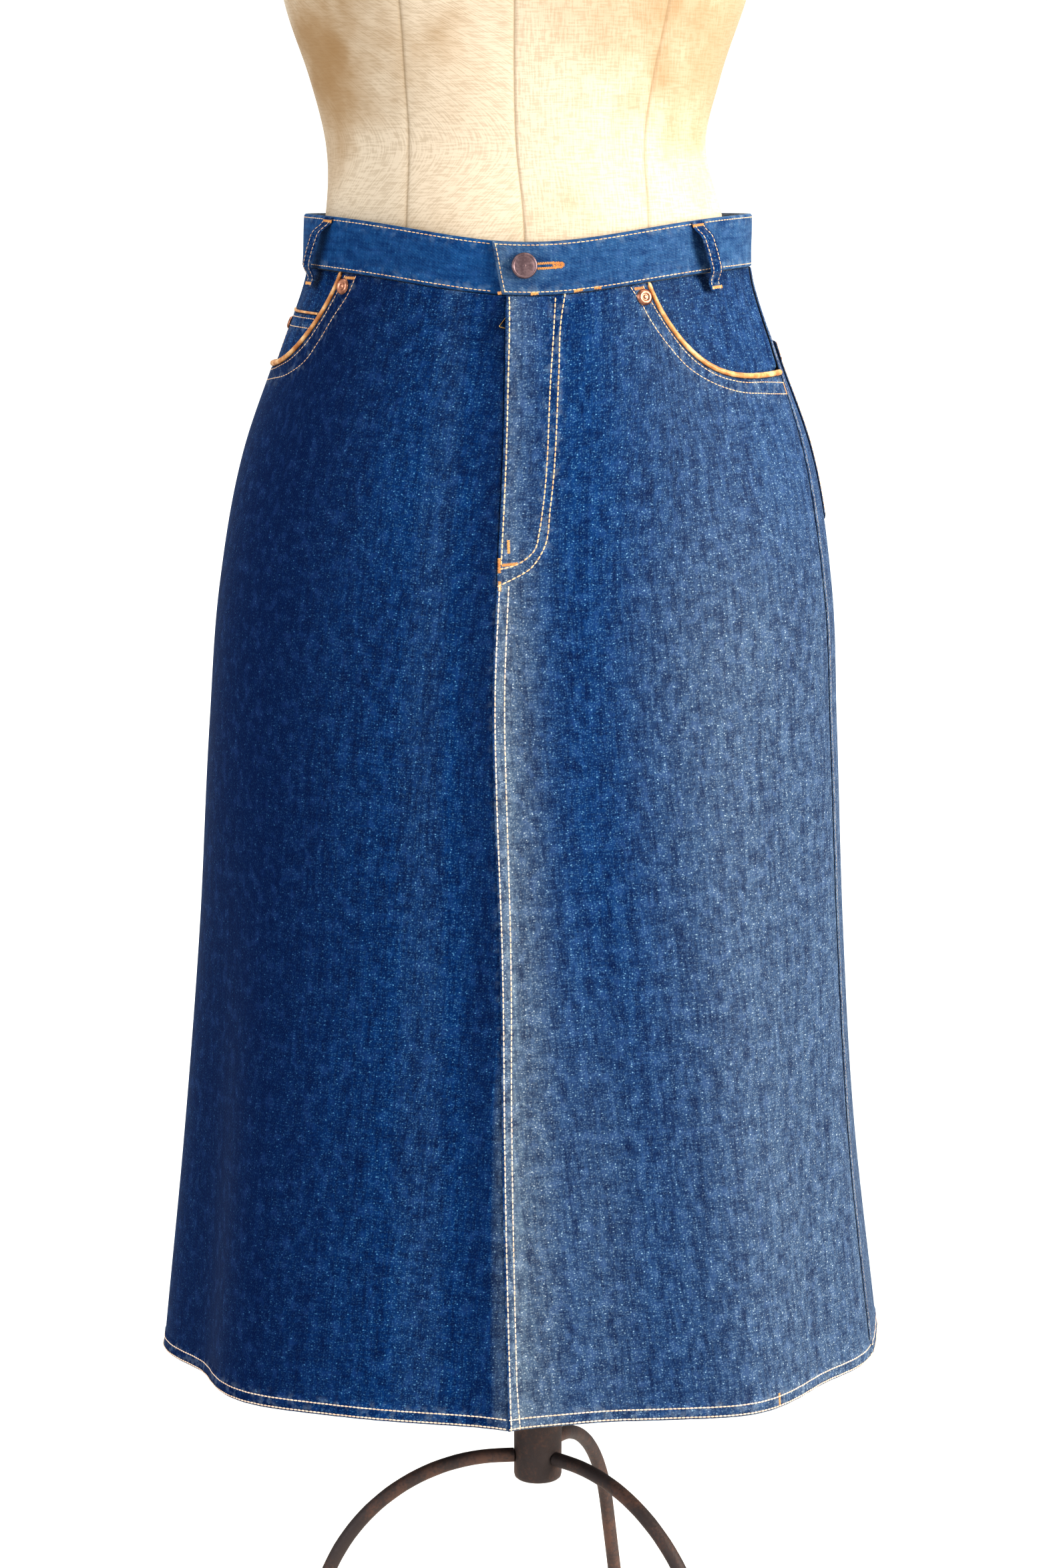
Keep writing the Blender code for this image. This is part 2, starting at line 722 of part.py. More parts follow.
def strip(name, left, right, drops, face, thick, material):
    """A narrow wall beside the zip, between two distances from its middle line."""
    sheet = []
    for across in (left, (left + right) / 2, right):
        sheet.append([(zip_angle(drop, across), drop) for drop in drops])
    return wall(name, sheet, flat_face(face), thick, material)


def make_zip():
    drops = [BAND + GAP + (FLY_END - ZIP_SHORT - BAND) * k / 8 for k in range(9)]
    strip("fly_shield", *SHIELD_REACH, drops, SHIELD_FACE, SHIELD_THICK, "denim")
    strip("zip_tape", -TAPE_REACH, TAPE_REACH, drops, TAPE_FACE, TAPE_THICK, "zip_tape")
    below = SLIDER_DROP + SLIDER[1] / 2 + 2 * GAP
    drops = [below + (CHAIN_END - below) * k / 8 for k in range(9)]
    thick = CHAIN_TOP - TAPE_FACE - GAP
    half = CHAIN_WIDTH / 2
    strip("zip_chain", -half, half, drops, CHAIN_TOP, thick, "brass")
    make_slider()
    make_pull()


def zip_frame(out, spin=0.0):
    return facing_out(zip_angle(SLIDER_DROP), SLIDER_DROP, out, spin)


def make_slider():
    """The slider's plate with a bridge over it, which the pull's top bar passes under."""
    width, length, height = SLIDER
    bpy.ops.mesh.primitive_cube_add(size=1.0)
    plate = bpy.context.object
    plate.name = "zip_slider"
    plate.data.name = "zip_slider"
    bpy.context.collection.objects.unlink(plate)
    PARTS.objects.link(plate)
    plate.data.materials.append(MADE["brass"])
    plate.data.transform(Matrix.Diagonal((width, length, height, 1.0)))
    bevel = plate.modifiers.new("rounded", "BEVEL")
    bevel.width = SLIDER_EDGE
    bevel.segments = 2
    plate.matrix_world = zip_frame(TAPE_FACE + SLIDER_CLEAR + height / 2)
    reach = length / 2 - BRIDGE_INSET
    bridge = [(0.0, -reach, 0.0)]
    for k in range(9):
        turn = math.pi * k / 8
        bridge.append((0.0, -reach * math.cos(turn) ** 3, BRIDGE_RISE * math.sin(turn) ** 0.5))
    bridge.append((0.0, reach, 0.0))
    bridge = [Vector(p) + Vector((0, 0, height / 2)) for p in bridge]
    bridge[0].z = height / 2 - BRIDGE_SUNK
    bridge[-1].z = height / 2 - BRIDGE_SUNK
    rod = tube("bridge_cutter", bridge, BRIDGE_RADIUS, "brass", 1)
    bpy.context.view_layer.update()
    solid = bpy.data.meshes.new_from_object(rod.evaluated_get(bpy.context.evaluated_depsgraph_get()))
    bpy.data.objects.remove(rod)
    weld(solid)
    helper = bpy.data.objects.new("bridge_cutter", solid)
    CUTTERS.objects.link(helper)
    helper.hide_render = True
    helper.display_type = "WIRE"
    helper.matrix_world = plate.matrix_world
    union = plate.modifiers.new("bridge", "BOOLEAN")
    union.operation = "UNION"
    union.object = helper


def weld(mesh):
    """Joins a tube's loose caps to its sides."""
    work = bmesh.new()
    work.from_mesh(mesh)
    bmesh.ops.remove_doubles(work, verts=work.verts, dist=1e-6)
    work.to_mesh(mesh)
    work.free()


def make_pull():
    """A wire loop: a bar under the bridge, two arms, and a wide base at its foot.

    Its origin is on the bar's axis, which is the axis that it swings about.
    """
    top, base = PULL_TOP / 2, PULL_BASE / 2
    corners = (
        (-top, 0.0), (top, 0.0), (top, -PULL_NECK), (base, -PULL_LENGTH), (-base, -PULL_LENGTH),
        (-top, -PULL_NECK),
    )
    outline = []
    for k, corner in enumerate(corners):
        before = Vector(corners[k - 1])
        here = Vector(corner)
        after = Vector(corners[(k + 1) % len(corners)])
        first = here + (before - here).normalized() * PULL_CORNER
        last = here + (after - here).normalized() * PULL_CORNER
        for t in (0.0, 0.5, 1.0):
            place = first.lerp(here, t).lerp(here.lerp(last, t), t)
            outline.append((place.x, place.y, 0.0))
    pull = tube("zip_pull", outline, PULL_WIRE, "brass", 2, cyclic=True)
    bar = TAPE_FACE + SLIDER_CLEAR + SLIDER[2] + (BRIDGE_RISE - BRIDGE_RADIUS) / 2
    pull.matrix_world = zip_frame(bar, -PULL_TILT)


def make_hardware():
    wide = [(radius * POCKET_RIVET_SPREAD, height) for radius, height in RIVET_PROFILE]
    angle, drop = BUTTON_PLACE
    turned(
        "button", BUTTON_PROFILE, 20, "antique_copper",
        facing_out(angle, drop, BAND_FACE + 2 * GAP),
    )
    for side, (start, _) in POCKETS.items():
        way = 1 if side == "left" else -1
        turned(
            f"rivet_pocket_{side}", wide, 14, "copper",
            facing_out(start - way * RIVET_INSIDE, RIVET_DROP, RIVET_OUT),
        )
    turned(
        "rivet_coin", RIVET_PROFILE, 14, "copper",
        facing_out(COIN_ANGLES[0] + COIN_RIVET_INSIDE, COIN_TOP + COIN_RIVET_BELOW, COIN_FACE + RIVET_OUT),
    )


# ---------------------------------------------------------------- the form and its stand


def form_ring(above, inset=0.0):
    """A ring of the form's surface at a height over its waistline."""
    half_width = smooth(FORM, 1, above) - inset
    middle = smooth(FORM, 2, above)
    power = smooth(FORM, 5, above)
    ring = []
    for k in range(FORM_SIDES):
        turn = math.tau * (k + 0.5) / FORM_SIDES
        ahead, side = math.cos(turn), math.sin(turn)
        depth = smooth(FORM, 3 if ahead >= 0 else 4, above) - inset
        radius = (
            (abs(side) / half_width) ** power + (abs(ahead) / depth) ** power
        ) ** (-1 / power)
        ring.append((middle + radius * side, -radius * ahead, WAISTLINE + above))
    return ring


def make_form():
    low, high = FORM[0][0], FORM[-1][0]
    heights = [row[0] for row in FORM]
    while len(heights) < FORM_RINGS:
        spans = [b - a for a, b in zip(heights, heights[1:])]
        widest = spans.index(max(spans))
        heights.insert(widest + 1, (heights[widest] + heights[widest + 1]) / 2)
    shade_smooth(loft("form_torso", [form_ring(above) for above in heights], "linen"), 60.0)
    bottom = []
    for drop, inset in ((BASE_HEIGHT, 0.003), (BASE_HEIGHT - 0.003, 0.0), (0.003, 0.0), (0.0, 0.003)):
        ring = form_ring(low, BASE_INSET + inset)
        bottom.append([(x, y, z - GAP - drop) for x, y, z in ring])
    loft("base_board", bottom, "wood")
    bpy.ops.mesh.primitive_cylinder_add(vertices=32, radius=CAP_RADIUS, depth=CAP_HEIGHT)
    cap = bpy.context.object
    cap.name = "neck_cap"
    bpy.context.collection.objects.unlink(cap)
    PARTS.objects.link(cap)
    cap.data.materials.append(MADE["wood"])
    cap.location = (smooth(FORM, 2, high), 0.0, WAISTLINE + high + GAP + CAP_HEIGHT / 2)
    bevel = cap.modifiers.new("rounded", "BEVEL")
    bevel.width = 0.003
    bevel.segments = 2


def make_stand():
    hub_place = Matrix.Translation(POLE + Vector((0.0, 0.0, HUB_BOTTOM)))
    turned("hub", HUB_PROFILE, 28, "iron", hub_place)
    hub_top = HUB_BOTTOM + HUB_PROFILE[0][1] + GAP
    pole_top = WAISTLINE + FORM[0][0] - BASE_HEIGHT - 2 * GAP
    bpy.ops.mesh.primitive_cylinder_add(vertices=24, radius=POLE_RADIUS, depth=pole_top - hub_top)
    pole = bpy.context.object
    pole.name = "pole"
    bpy.context.collection.objects.unlink(pole)
    PARTS.objects.link(pole)
    pole.data.materials.append(MADE["iron"])
    pole.location = POLE + Vector((0.0, 0.0, (pole_top + hub_top) / 2))
    for name, azimuth in LEGS.items():
        make_leg(name, azimuth)


def leg_path():
    """Distance from the pole and height: out of the hub, round the bend, down to the floor."""
    path = [(HUB_PROFILE[2][0] + GAP, LEG_HEIGHT), (LEG_RUN, LEG_HEIGHT)]
    for k in range(1, 11):
        turn = math.radians(LEG_SWEEP) * k / 10
        path.append((
            LEG_RUN + LEG_BEND * math.sin(turn),
            LEG_HEIGHT - LEG_BEND * (1 - math.cos(turn)),
        ))
    reach, height = path[-1]
    splay = math.tan(math.radians(90.0 - LEG_SWEEP))
    foot = reach + (height - FOOT_RISE) * splay
    path.append(((reach + foot) / 2, (height + FOOT_RISE) / 2))
    path.append((foot, FOOT_RISE))
    for k in range(1, 4):
        t = k / 3
        ease_out = t - t * t / 2
        path.append((foot + splay * FOOT_RISE * FOOT_TURN * ease_out, FOOT_RISE * (1 - FOOT_TURN * t)))
    path.append((path[-1][0], 0.0))
    return path


def make_leg(name, azimuth):
    turn = math.radians(azimuth)
    points = []
    for reach, height in leg_path():
        points.append(POLE + Vector((reach * math.cos(turn), reach * math.sin(turn), height)))
    tube(name, points, LEG_RADIUS, "iron", 2)


for old in list(bpy.data.objects):
    bpy.data.objects.remove(old)
PARTS = start_collection("denim_skirt_on_form")
CUTTERS = start_collection("cutters")
MADE = make_materials()
front_columns = make_panels()
for pocket_side in POCKETS:
    make_facing(pocket_side)
    make_piping(pocket_side, front_columns[pocket_side])
    make_back_pocket(pocket_side)
make_coin_pocket()
make_waistband()
for loop_name, (loop_top, loop_foot) in LOOPS.items():
    make_loop(loop_name, loop_top, loop_foot)
make_zip()
make_hardware()
make_form()
make_stand()
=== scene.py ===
"""The looks of a denim skirt on a limbless dress form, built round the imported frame.

Lengths are metres. +Z is up, the front faces -Y, and left and right are the wearer's.
A place on the skirt is an angle round it, in degrees from the front and positive towards
the wearer's left, and a drop below the top edge of the waistband.
"""

import logging
import math
from collections.abc import Callable, Iterable
from dataclasses import dataclass, field
from enum import Enum

import bmesh
import bpy
import numpy as np
from mathutils import Matrix, Vector
from mathutils.kdtree import KDTree


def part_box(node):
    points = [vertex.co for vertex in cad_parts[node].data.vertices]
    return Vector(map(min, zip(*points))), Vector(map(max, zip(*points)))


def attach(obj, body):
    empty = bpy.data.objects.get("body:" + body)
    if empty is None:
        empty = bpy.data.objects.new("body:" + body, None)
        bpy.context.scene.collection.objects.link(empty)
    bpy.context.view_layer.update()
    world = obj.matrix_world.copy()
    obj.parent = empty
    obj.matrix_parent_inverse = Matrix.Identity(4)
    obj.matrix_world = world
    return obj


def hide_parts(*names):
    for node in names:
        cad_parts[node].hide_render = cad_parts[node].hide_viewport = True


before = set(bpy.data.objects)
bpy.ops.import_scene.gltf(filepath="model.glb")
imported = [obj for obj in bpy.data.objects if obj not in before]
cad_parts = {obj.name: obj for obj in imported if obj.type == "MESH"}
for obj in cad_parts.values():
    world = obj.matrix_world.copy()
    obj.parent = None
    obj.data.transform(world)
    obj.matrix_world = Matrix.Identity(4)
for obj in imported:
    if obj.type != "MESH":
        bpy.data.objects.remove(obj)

LOG = logging.getLogger("skirt")
BODY = "skirt_on_form"

Array = np.ndarray
Table = tuple[tuple[float, ...], ...]
Triple = tuple[float, float, float]
Colour = Triple
Socket = bpy.types.NodeSocket
Mesh = bpy.types.Mesh
Object = bpy.types.Object
Places = list[tuple[float, float]]
Face = Callable[[Array, Array], Array]
Layout = Callable[[Array, Array], tuple[Array, Array]]


# ---- curves through tables


def along(table: Table, column: int, at: Array) -> Array:
    """Reads a smooth curve through a table's rows.

    Args:
        table: Rows whose first value is the key, in rising order.
        column: Which value of the rows the curve runs through.
        at: The keys to read at.

    Returns:
        The curve's value at each key.
    """
    keys = np.array([row[0] for row in table], float)
    values = np.array([row[column] for row in table], float)
    at = np.clip(np.asarray(at, float), keys[0], keys[-1])
    spans = np.diff(keys)
    rates = np.diff(values) / spans
    inner = (spans[1:] * rates[:-1] + spans[:-1] * rates[1:]) / (spans[1:] + spans[:-1])
    slopes = np.concatenate([rates[:1], inner, rates[-1:]])
    i = np.clip(np.searchsorted(keys, at, side="right") - 1, 0, len(keys) - 2)
    t = (at - keys[i]) / spans[i]
    return (
        (2 * t**3 - 3 * t**2 + 1) * values[i]
        + (t**3 - 2 * t**2 + t) * spans[i] * slopes[i]
        + (3 * t**2 - 2 * t**3) * values[i + 1]
        + (t**3 - t**2) * spans[i] * slopes[i + 1]
    )


def ease(t: Array) -> Array:
    """A soft step from 0 to 1 as t goes from 0 to 1."""
    t = np.clip(t, 0.0, 1.0)
    return t * t * (3 - 2 * t)


def section_radius(sections: Table, angle: Array, at: Array) -> Array:
    """How far a rounded outline lies from its middle, with its own depth in front and behind."""
    turn = np.radians(angle)
    ahead = np.cos(turn)
    depth = np.where(ahead >= 0, along(sections, 3, at), along(sections, 4, at))
    across, power = np.abs(np.sin(turn)) / along(sections, 1, at), along(sections, 5, at)
    return (across**power + (np.abs(ahead) / depth) ** power) ** (-1 / power)


def turn_between(a: Array, b: Array) -> Array:
    """The turn from b to a, from -180 to 180 degrees."""
    return (a - b + 180.0) % 360.0 - 180.0


def unit(vectors: Array) -> Array:
    """The vectors with length 1."""
    return vectors / np.linalg.norm(vectors, axis=-1, keepdims=True)


# ---- the skirt's surface


@dataclass(frozen=True)
class SkirtSurface:
    """The outer surface of the skirt's cloth, which every cloth piece is laid on."""

    waist: float = 1.178
    waist_dip: float = 0.018
    waist_roundness: float = 2.6
    length: float = 0.802
    ridge_spread: float = 7.0
    # drop, half_width, centre, front, back, squareness
    sections: Table = (
        (0, 0.1565, 0.005, 0.1125, 0.112, 2),
        (0.036, 0.1575, 0.0042, 0.115, 0.115, 2),
        (0.093, 0.1765, 0.004, 0.127, 0.13, 2),
        (0.16, 0.201, 0.0044, 0.14, 0.142, 2.05),
        (0.257, 0.219, 0.0033, 0.154, 0.152, 2.1),
        (0.354, 0.2255, 0.0016, 0.165, 0.16, 2.15),
        (0.502, 0.2325, 0.0006, 0.179, 0.172, 2.2),
        (0.65, 0.243, -0.0005, 0.193, 0.185, 2.25),
        (0.802, 0.2595, 0.0005, 0.207, 0.205, 2.3),
    )
    # drop, height of the ridge at the centre front seam
    ridge: Table = (
        (0, 0.0012), (0.1, 0.0034), (0.2, 0.0066), (0.3, 0.0085), (0.5, 0.0105), (0.802, 0.013),
    )
    # angle, spread, depth at the hem, drop where the fold starts
    folds: Table = (
        (17, 9, -0.0045, 0.25), (41, 9, 0.01, 0.2), (62, 9, -0.009, 0.25), (101, 11, 0.008, 0.3),
        (128, 12, -0.009, 0.22), (153, 11, 0.009, 0.28), (-50, 9, 0.006, 0.3), (-68, 8, -0.011, 0.35),
        (-83, 7, 0.004, 0.3), (-113, 12, -0.008, 0.24), (-140, 12, 0.01, 0.26), (-163, 9, -0.006, 0.32),
    )
    # angle, drop, spread in degrees, spread down the cloth, height: creases placed one by one
    creases: Table = (
        (-33, 0.15, 15, 0.016, -0.0009), (-24, 0.185, 12, 0.014, 0.0007),
        (36, 0.17, 14, 0.018, -0.0008), (55, 0.215, 13, 0.02, 0.0009), (-55, 0.24, 12, 0.03, 0.0011),
        (-20, 0.42, 5, 0.12, 0.001), (24, 0.52, 5, 0.15, 0.0012), (-36, 0.6, 6, 0.13, -0.0011),
        (120, 0.26, 14, 0.02, -0.001), (150, 0.29, 16, 0.022, 0.001), (-125, 0.27, 15, 0.02, 0.001),
        (-152, 0.3, 13, 0.024, -0.001), (168, 0.48, 5, 0.14, 0.0012), (-100, 0.45, 6, 0.12, -0.001),
    )
    seams: dict[str, Table] = field(default_factory=lambda: {
        "centre_front": (
            (0, -7.4), (0.09, -6.6), (0.21, -7.2), (0.3, -7.5), (0.374, -6.4), (0.464, -4.9),
            (0.6, -3.7), (0.802, -2.4),
        ),
        "side_left": (
            (0, 87), (0.036, 86), (0.09, 82.5), (0.166, 78.5), (0.3, 77.5), (0.802, 78),
        ),
        "centre_back": ((0.0, 173.0), (0.3, 173.5), (0.802, 176.0)),
        "side_right": (
            (0, -97), (0.09, -96), (0.2, -93.5), (0.5, -91), (0.802, -90),
        ),
    })

    # degrees to the left of the centre front seam, how much light is painted on the cloth: below 0 it is
    # painted shade
    painted_light_left: Table = (
        (0, -1.2), (0.4, 0.8), (1.2, 1.25), (6, 1.1), (13, 0.32), (20, 0.1), (27, 0.15), (36, 0.45),
        (48, 0.85), (71, 0.95), (106, 0.8), (146, 0.2), (185, 0),
    )
    # the same to the right of the seam, where it is mostly painted shade
    painted_light_right: Table = (
        (-185, 0), (-130, -0.2), (-88, -1), (-70, -1.5), (-50, -1.4), (-32, -0.45), (-19, 0.1),
        (-11, 0), (-4, -0.7), (0, -0.7),
    )

    def fade(self, angle: Array, drop: Array) -> Array:
        """Painted light (above 0) and painted shade (below 0) at each place of a panel, stepping at the
        centre front seam.
        """
        off = turn_between(angle, self.seam("centre_front", drop))
        low = ease((drop - 0.42) / 0.25)
        left = along(self.painted_light_left, 1, off) * (0.44 + 0.4 * ease((drop - 0.15) / 0.15) + 0.04 * low)
        # more painted light low down, some 20 degrees left of the seam, and a strip of it beside the seam on
        # the right
        left = left + 0.45 * low * np.exp(-(((off - 20) / 9) ** 2))
        near = 1 - ease((np.abs(off) - 1.9 * ease((drop - 0.45) / 0.35)) / 2.6)
        right = along(self.painted_light_right, 1, off) + 1.4 * near * ease((drop - 0.48) / 0.12)
        return np.where(off >= 0, left, right)

    def seam(self, name: str, drop: Array) -> Array:
        """The angle that a seam runs at, at each drop."""
        return along(self.seams[name], 1, drop)

    def radius(self, angle: Array, drop: Array) -> Array:
        """The distance from the section's middle to the cloth, with its folds and creases."""
        found = section_radius(self.sections, angle, drop)
        off_seam = np.abs(turn_between(angle, self.seam("centre_front", drop)))
        found = found + along(self.ridge, 1, drop) * np.exp(-off_seam / self.ridge_spread)
        for place, spread, depth_at_hem, start in self.folds:
            grown = ease((drop - start) / (self.length - start))
            found += depth_at_hem * grown * np.exp(-((turn_between(angle, place) / spread) ** 2))
        for place, at, spread, reach, height in self.creases:
            off = (turn_between(angle, place) / spread) ** 2 + ((drop - at) / reach) ** 2
            found += height * np.exp(-off)
        return found

    def point(self, angle: Array, drop: Array) -> Array:
        """The place in space of each place on the skirt, as rows of x, y, z."""
        angle, drop = np.broadcast_arrays(np.asarray(angle, float), np.asarray(drop, float))
        turn = np.radians(angle)
        radius = self.radius(angle, drop)
        dip = np.clip(np.cos(turn), 0.0, 1.0) ** self.waist_roundness
        top = self.waist + self.waist_dip * (1 - dip)
        height = top - drop * (top - self.waist + self.length) / self.length
        middle = along(self.sections, 2, drop)
        return np.stack([middle + radius * np.sin(turn), -radius * np.cos(turn), height], -1)

    def normal(self, angle: Array, drop: Array) -> Array:
        """The outward direction of the cloth at each place."""
        low = np.maximum(np.asarray(drop, float) - 0.003, 0.0)
        high = np.minimum(np.asarray(drop, float) + 0.003, self.length)
        across = self.point(np.asarray(angle) + 0.7, drop) - self.point(np.asarray(angle) - 0.7, drop)
        down = self.point(angle, high) - self.point(angle, low)
        return unit(np.cross(down, across))

    def out(self, angle: Array, drop: Array, height: Array) -> Array:
        """The places moved out of the surface by a height."""
        height = np.asarray(height, float)
        return self.point(angle, drop) + self.normal(angle, drop) * height[..., None]

    def degrees(self, length: float, angle: Array, drop: Array) -> Array:
        """The angle that a length across the cloth takes up at a place."""
        step = self.point(np.asarray(angle) + 1.0, drop) - self.point(np.asarray(angle) - 1.0, drop)
        return length / (np.linalg.norm(step, axis=-1) / 2)


SKIRT = SkirtSurface()


# ---- finishes


class NodeBench:
    """A node tree, with short ways to add nodes and to feed them."""

    def __init__(self, tree: bpy.types.NodeTree) -> None:
        """Takes the tree that the nodes go into."""
        self.tree = tree

    def feed(self, socket: Socket, value: object) -> None:
        """Links a socket to another, or gives it a plain value."""
        if isinstance(value, Socket):
            self.tree.links.new(value, socket)
        else:
            socket.default_value = value

    def node(
        self, kind: str, feeds: dict[str | int, object] | None = None, **settings: object
    ) -> bpy.types.Node:
        """Adds a node, gives its properties their values and feeds its inputs."""
        made = self.tree.nodes.new(kind)
        for name, value in settings.items():
            setattr(made, name, value)
        for name, value in (feeds or {}).items():
            self.feed(made.inputs[name], value)
        return made

    def math(self, operation: str, a: object, b: object = 0.0) -> Socket:
        """One step of arithmetic."""
        return self.node("ShaderNodeMath", {0: a, 1: b}, operation=operation).outputs[0]

    def plus(self, a: object, b: object) -> Socket:
        """Two numbers added."""
        return self.math("ADD", a, b)

    def minus(self, a: object, b: object) -> Socket:
        """The second number taken from the first."""
        return self.math("SUBTRACT", a, b)

    def times(self, a: object, b: object) -> Socket:
        """Two numbers multiplied."""
        return self.math("MULTIPLY", a, b)

    def weighted(self, *parts: tuple[Socket, float]) -> Socket:
        """The sum of numbers, each times its share."""
        total = self.times(*parts[0])
        for part in parts[1:]:
            total = self.plus(total, self.times(*part))
        return total


class ShaderTree(NodeBench):
    """A material's node tree, with the nodes that the finishes share."""

    def __init__(self, name: str) -> None:
        """Starts a material with only its Principled shader."""
        self.material = bpy.data.materials.new(name)
        self.material.use_nodes = True
        super().__init__(self.material.node_tree)
        self.surface = self.tree.nodes["Principled BSDF"]

    def cloth_place(self) -> Socket:
        """The place on the cloth in metres: across, then down."""
        return self.node("ShaderNodeUVMap", uv_map="cloth").outputs["UV"]

    def object_place(self) -> Socket:
        """The place in the object's own coordinates."""
        return self.node("ShaderNodeTexCoord").outputs["Object"]

    def mask(self, name: str) -> Socket:
        """A number that is stored on the mesh's points."""
        return self.node("ShaderNodeAttribute", attribute_name=name).outputs["Fac"]

    def stretched(self, place: Socket, scale: Triple, turn: float = 0.0) -> Socket:
        """The place turned about Z by some degrees and then scaled along each axis."""
        about_z = (0.0, 0.0, math.radians(turn))
        turned = self.node("ShaderNodeMapping", {"Vector": place, "Rotation": about_z})
        factors = {0: turned.outputs["Vector"], 1: scale}
        return self.node("ShaderNodeVectorMath", factors, operation="MULTIPLY").outputs["Vector"]

    def noise(self, place: Socket, scale: Triple, detail: float = 2.0, rough: float = 0.5) -> Socket:
        """Soft noise whose grain is 1 / scale metres long on each axis."""
        node = self.node("ShaderNodeTexNoise", {
            "Vector": self.stretched(place, scale), "Scale": 1.0, "Detail": detail, "Roughness": rough,
        })
        return node.outputs["Fac"]

    def dots(self, place: Socket, scale: Triple, radius: float) -> Socket:
        """Scattered dots of uneven strength, one in each 1 / scale metres, with a radius in cells."""
        cells = {"Vector": self.stretched(place, scale), "Scale": 1.0}
        node = self.node("ShaderNodeTexVoronoi", cells, voronoi_dimensions="2D")
        near = self.minus(1.0, self.step(node.outputs["Distance"], radius * 0.5, radius))
        split = self.node("ShaderNodeSeparateColor", {0: node.outputs["Color"]})
        return self.times(near, self.step(split.outputs[0], 0.15, 1.0))

    def step(self, value: Socket, low: float, high: float) -> Socket:
        """0 below low, 1 above high, and smooth between."""
        span = {"Value": value, "From Min": low, "From Max": high}
        return self.node("ShaderNodeMapRange", span, interpolation_type="SMOOTHSTEP").outputs["Result"]

    def blend(self, share: object, a: object, b: object, kind: str = "MIX") -> Socket:
        """Two colours mixed."""
        node = self.node("ShaderNodeMix", data_type="RGBA", blend_type=kind)
        self.feed(node.inputs[0], share)
        for socket, value in ((node.inputs[6], a), (node.inputs[7], b)):
            self.feed(socket, (*value, 1.0) if isinstance(value, tuple) else value)
        return node.outputs[2]

    def paint(self, colour: Socket) -> None:
        """Gives the surface its colour."""
        self.feed(self.surface.inputs["Base Color"], colour)

    def bump(self, height: Socket, depth: float, strength: float) -> None:
        """Puts a height on the surface's normal."""
        node = self.node("ShaderNodeBump", {"Strength": strength, "Distance": depth, "Height": height})
        self.feed(self.surface.inputs["Normal"], node.outputs["Normal"])

    def plain(self, **values: object) -> None:
        """Sets plain values on the shader's own sockets; _ stands for a space in a name."""
        for name, value in values.items():
            socket = self.surface.inputs[name.replace("_", " ")]
            socket.default_value = (*value, 1.0) if isinstance(value, tuple) else value


class Surface:
    """A finish, which dresses a node tree of its own."""

    name: str

    def make(self) -> bpy.types.Material:
        """Builds the material."""
        tree = ShaderTree(self.name)
        self.dress(tree)
        return tree.material

    def dress(self, tree: ShaderTree) -> None:
        """Adds the finish's nodes."""
        raise NotImplementedError


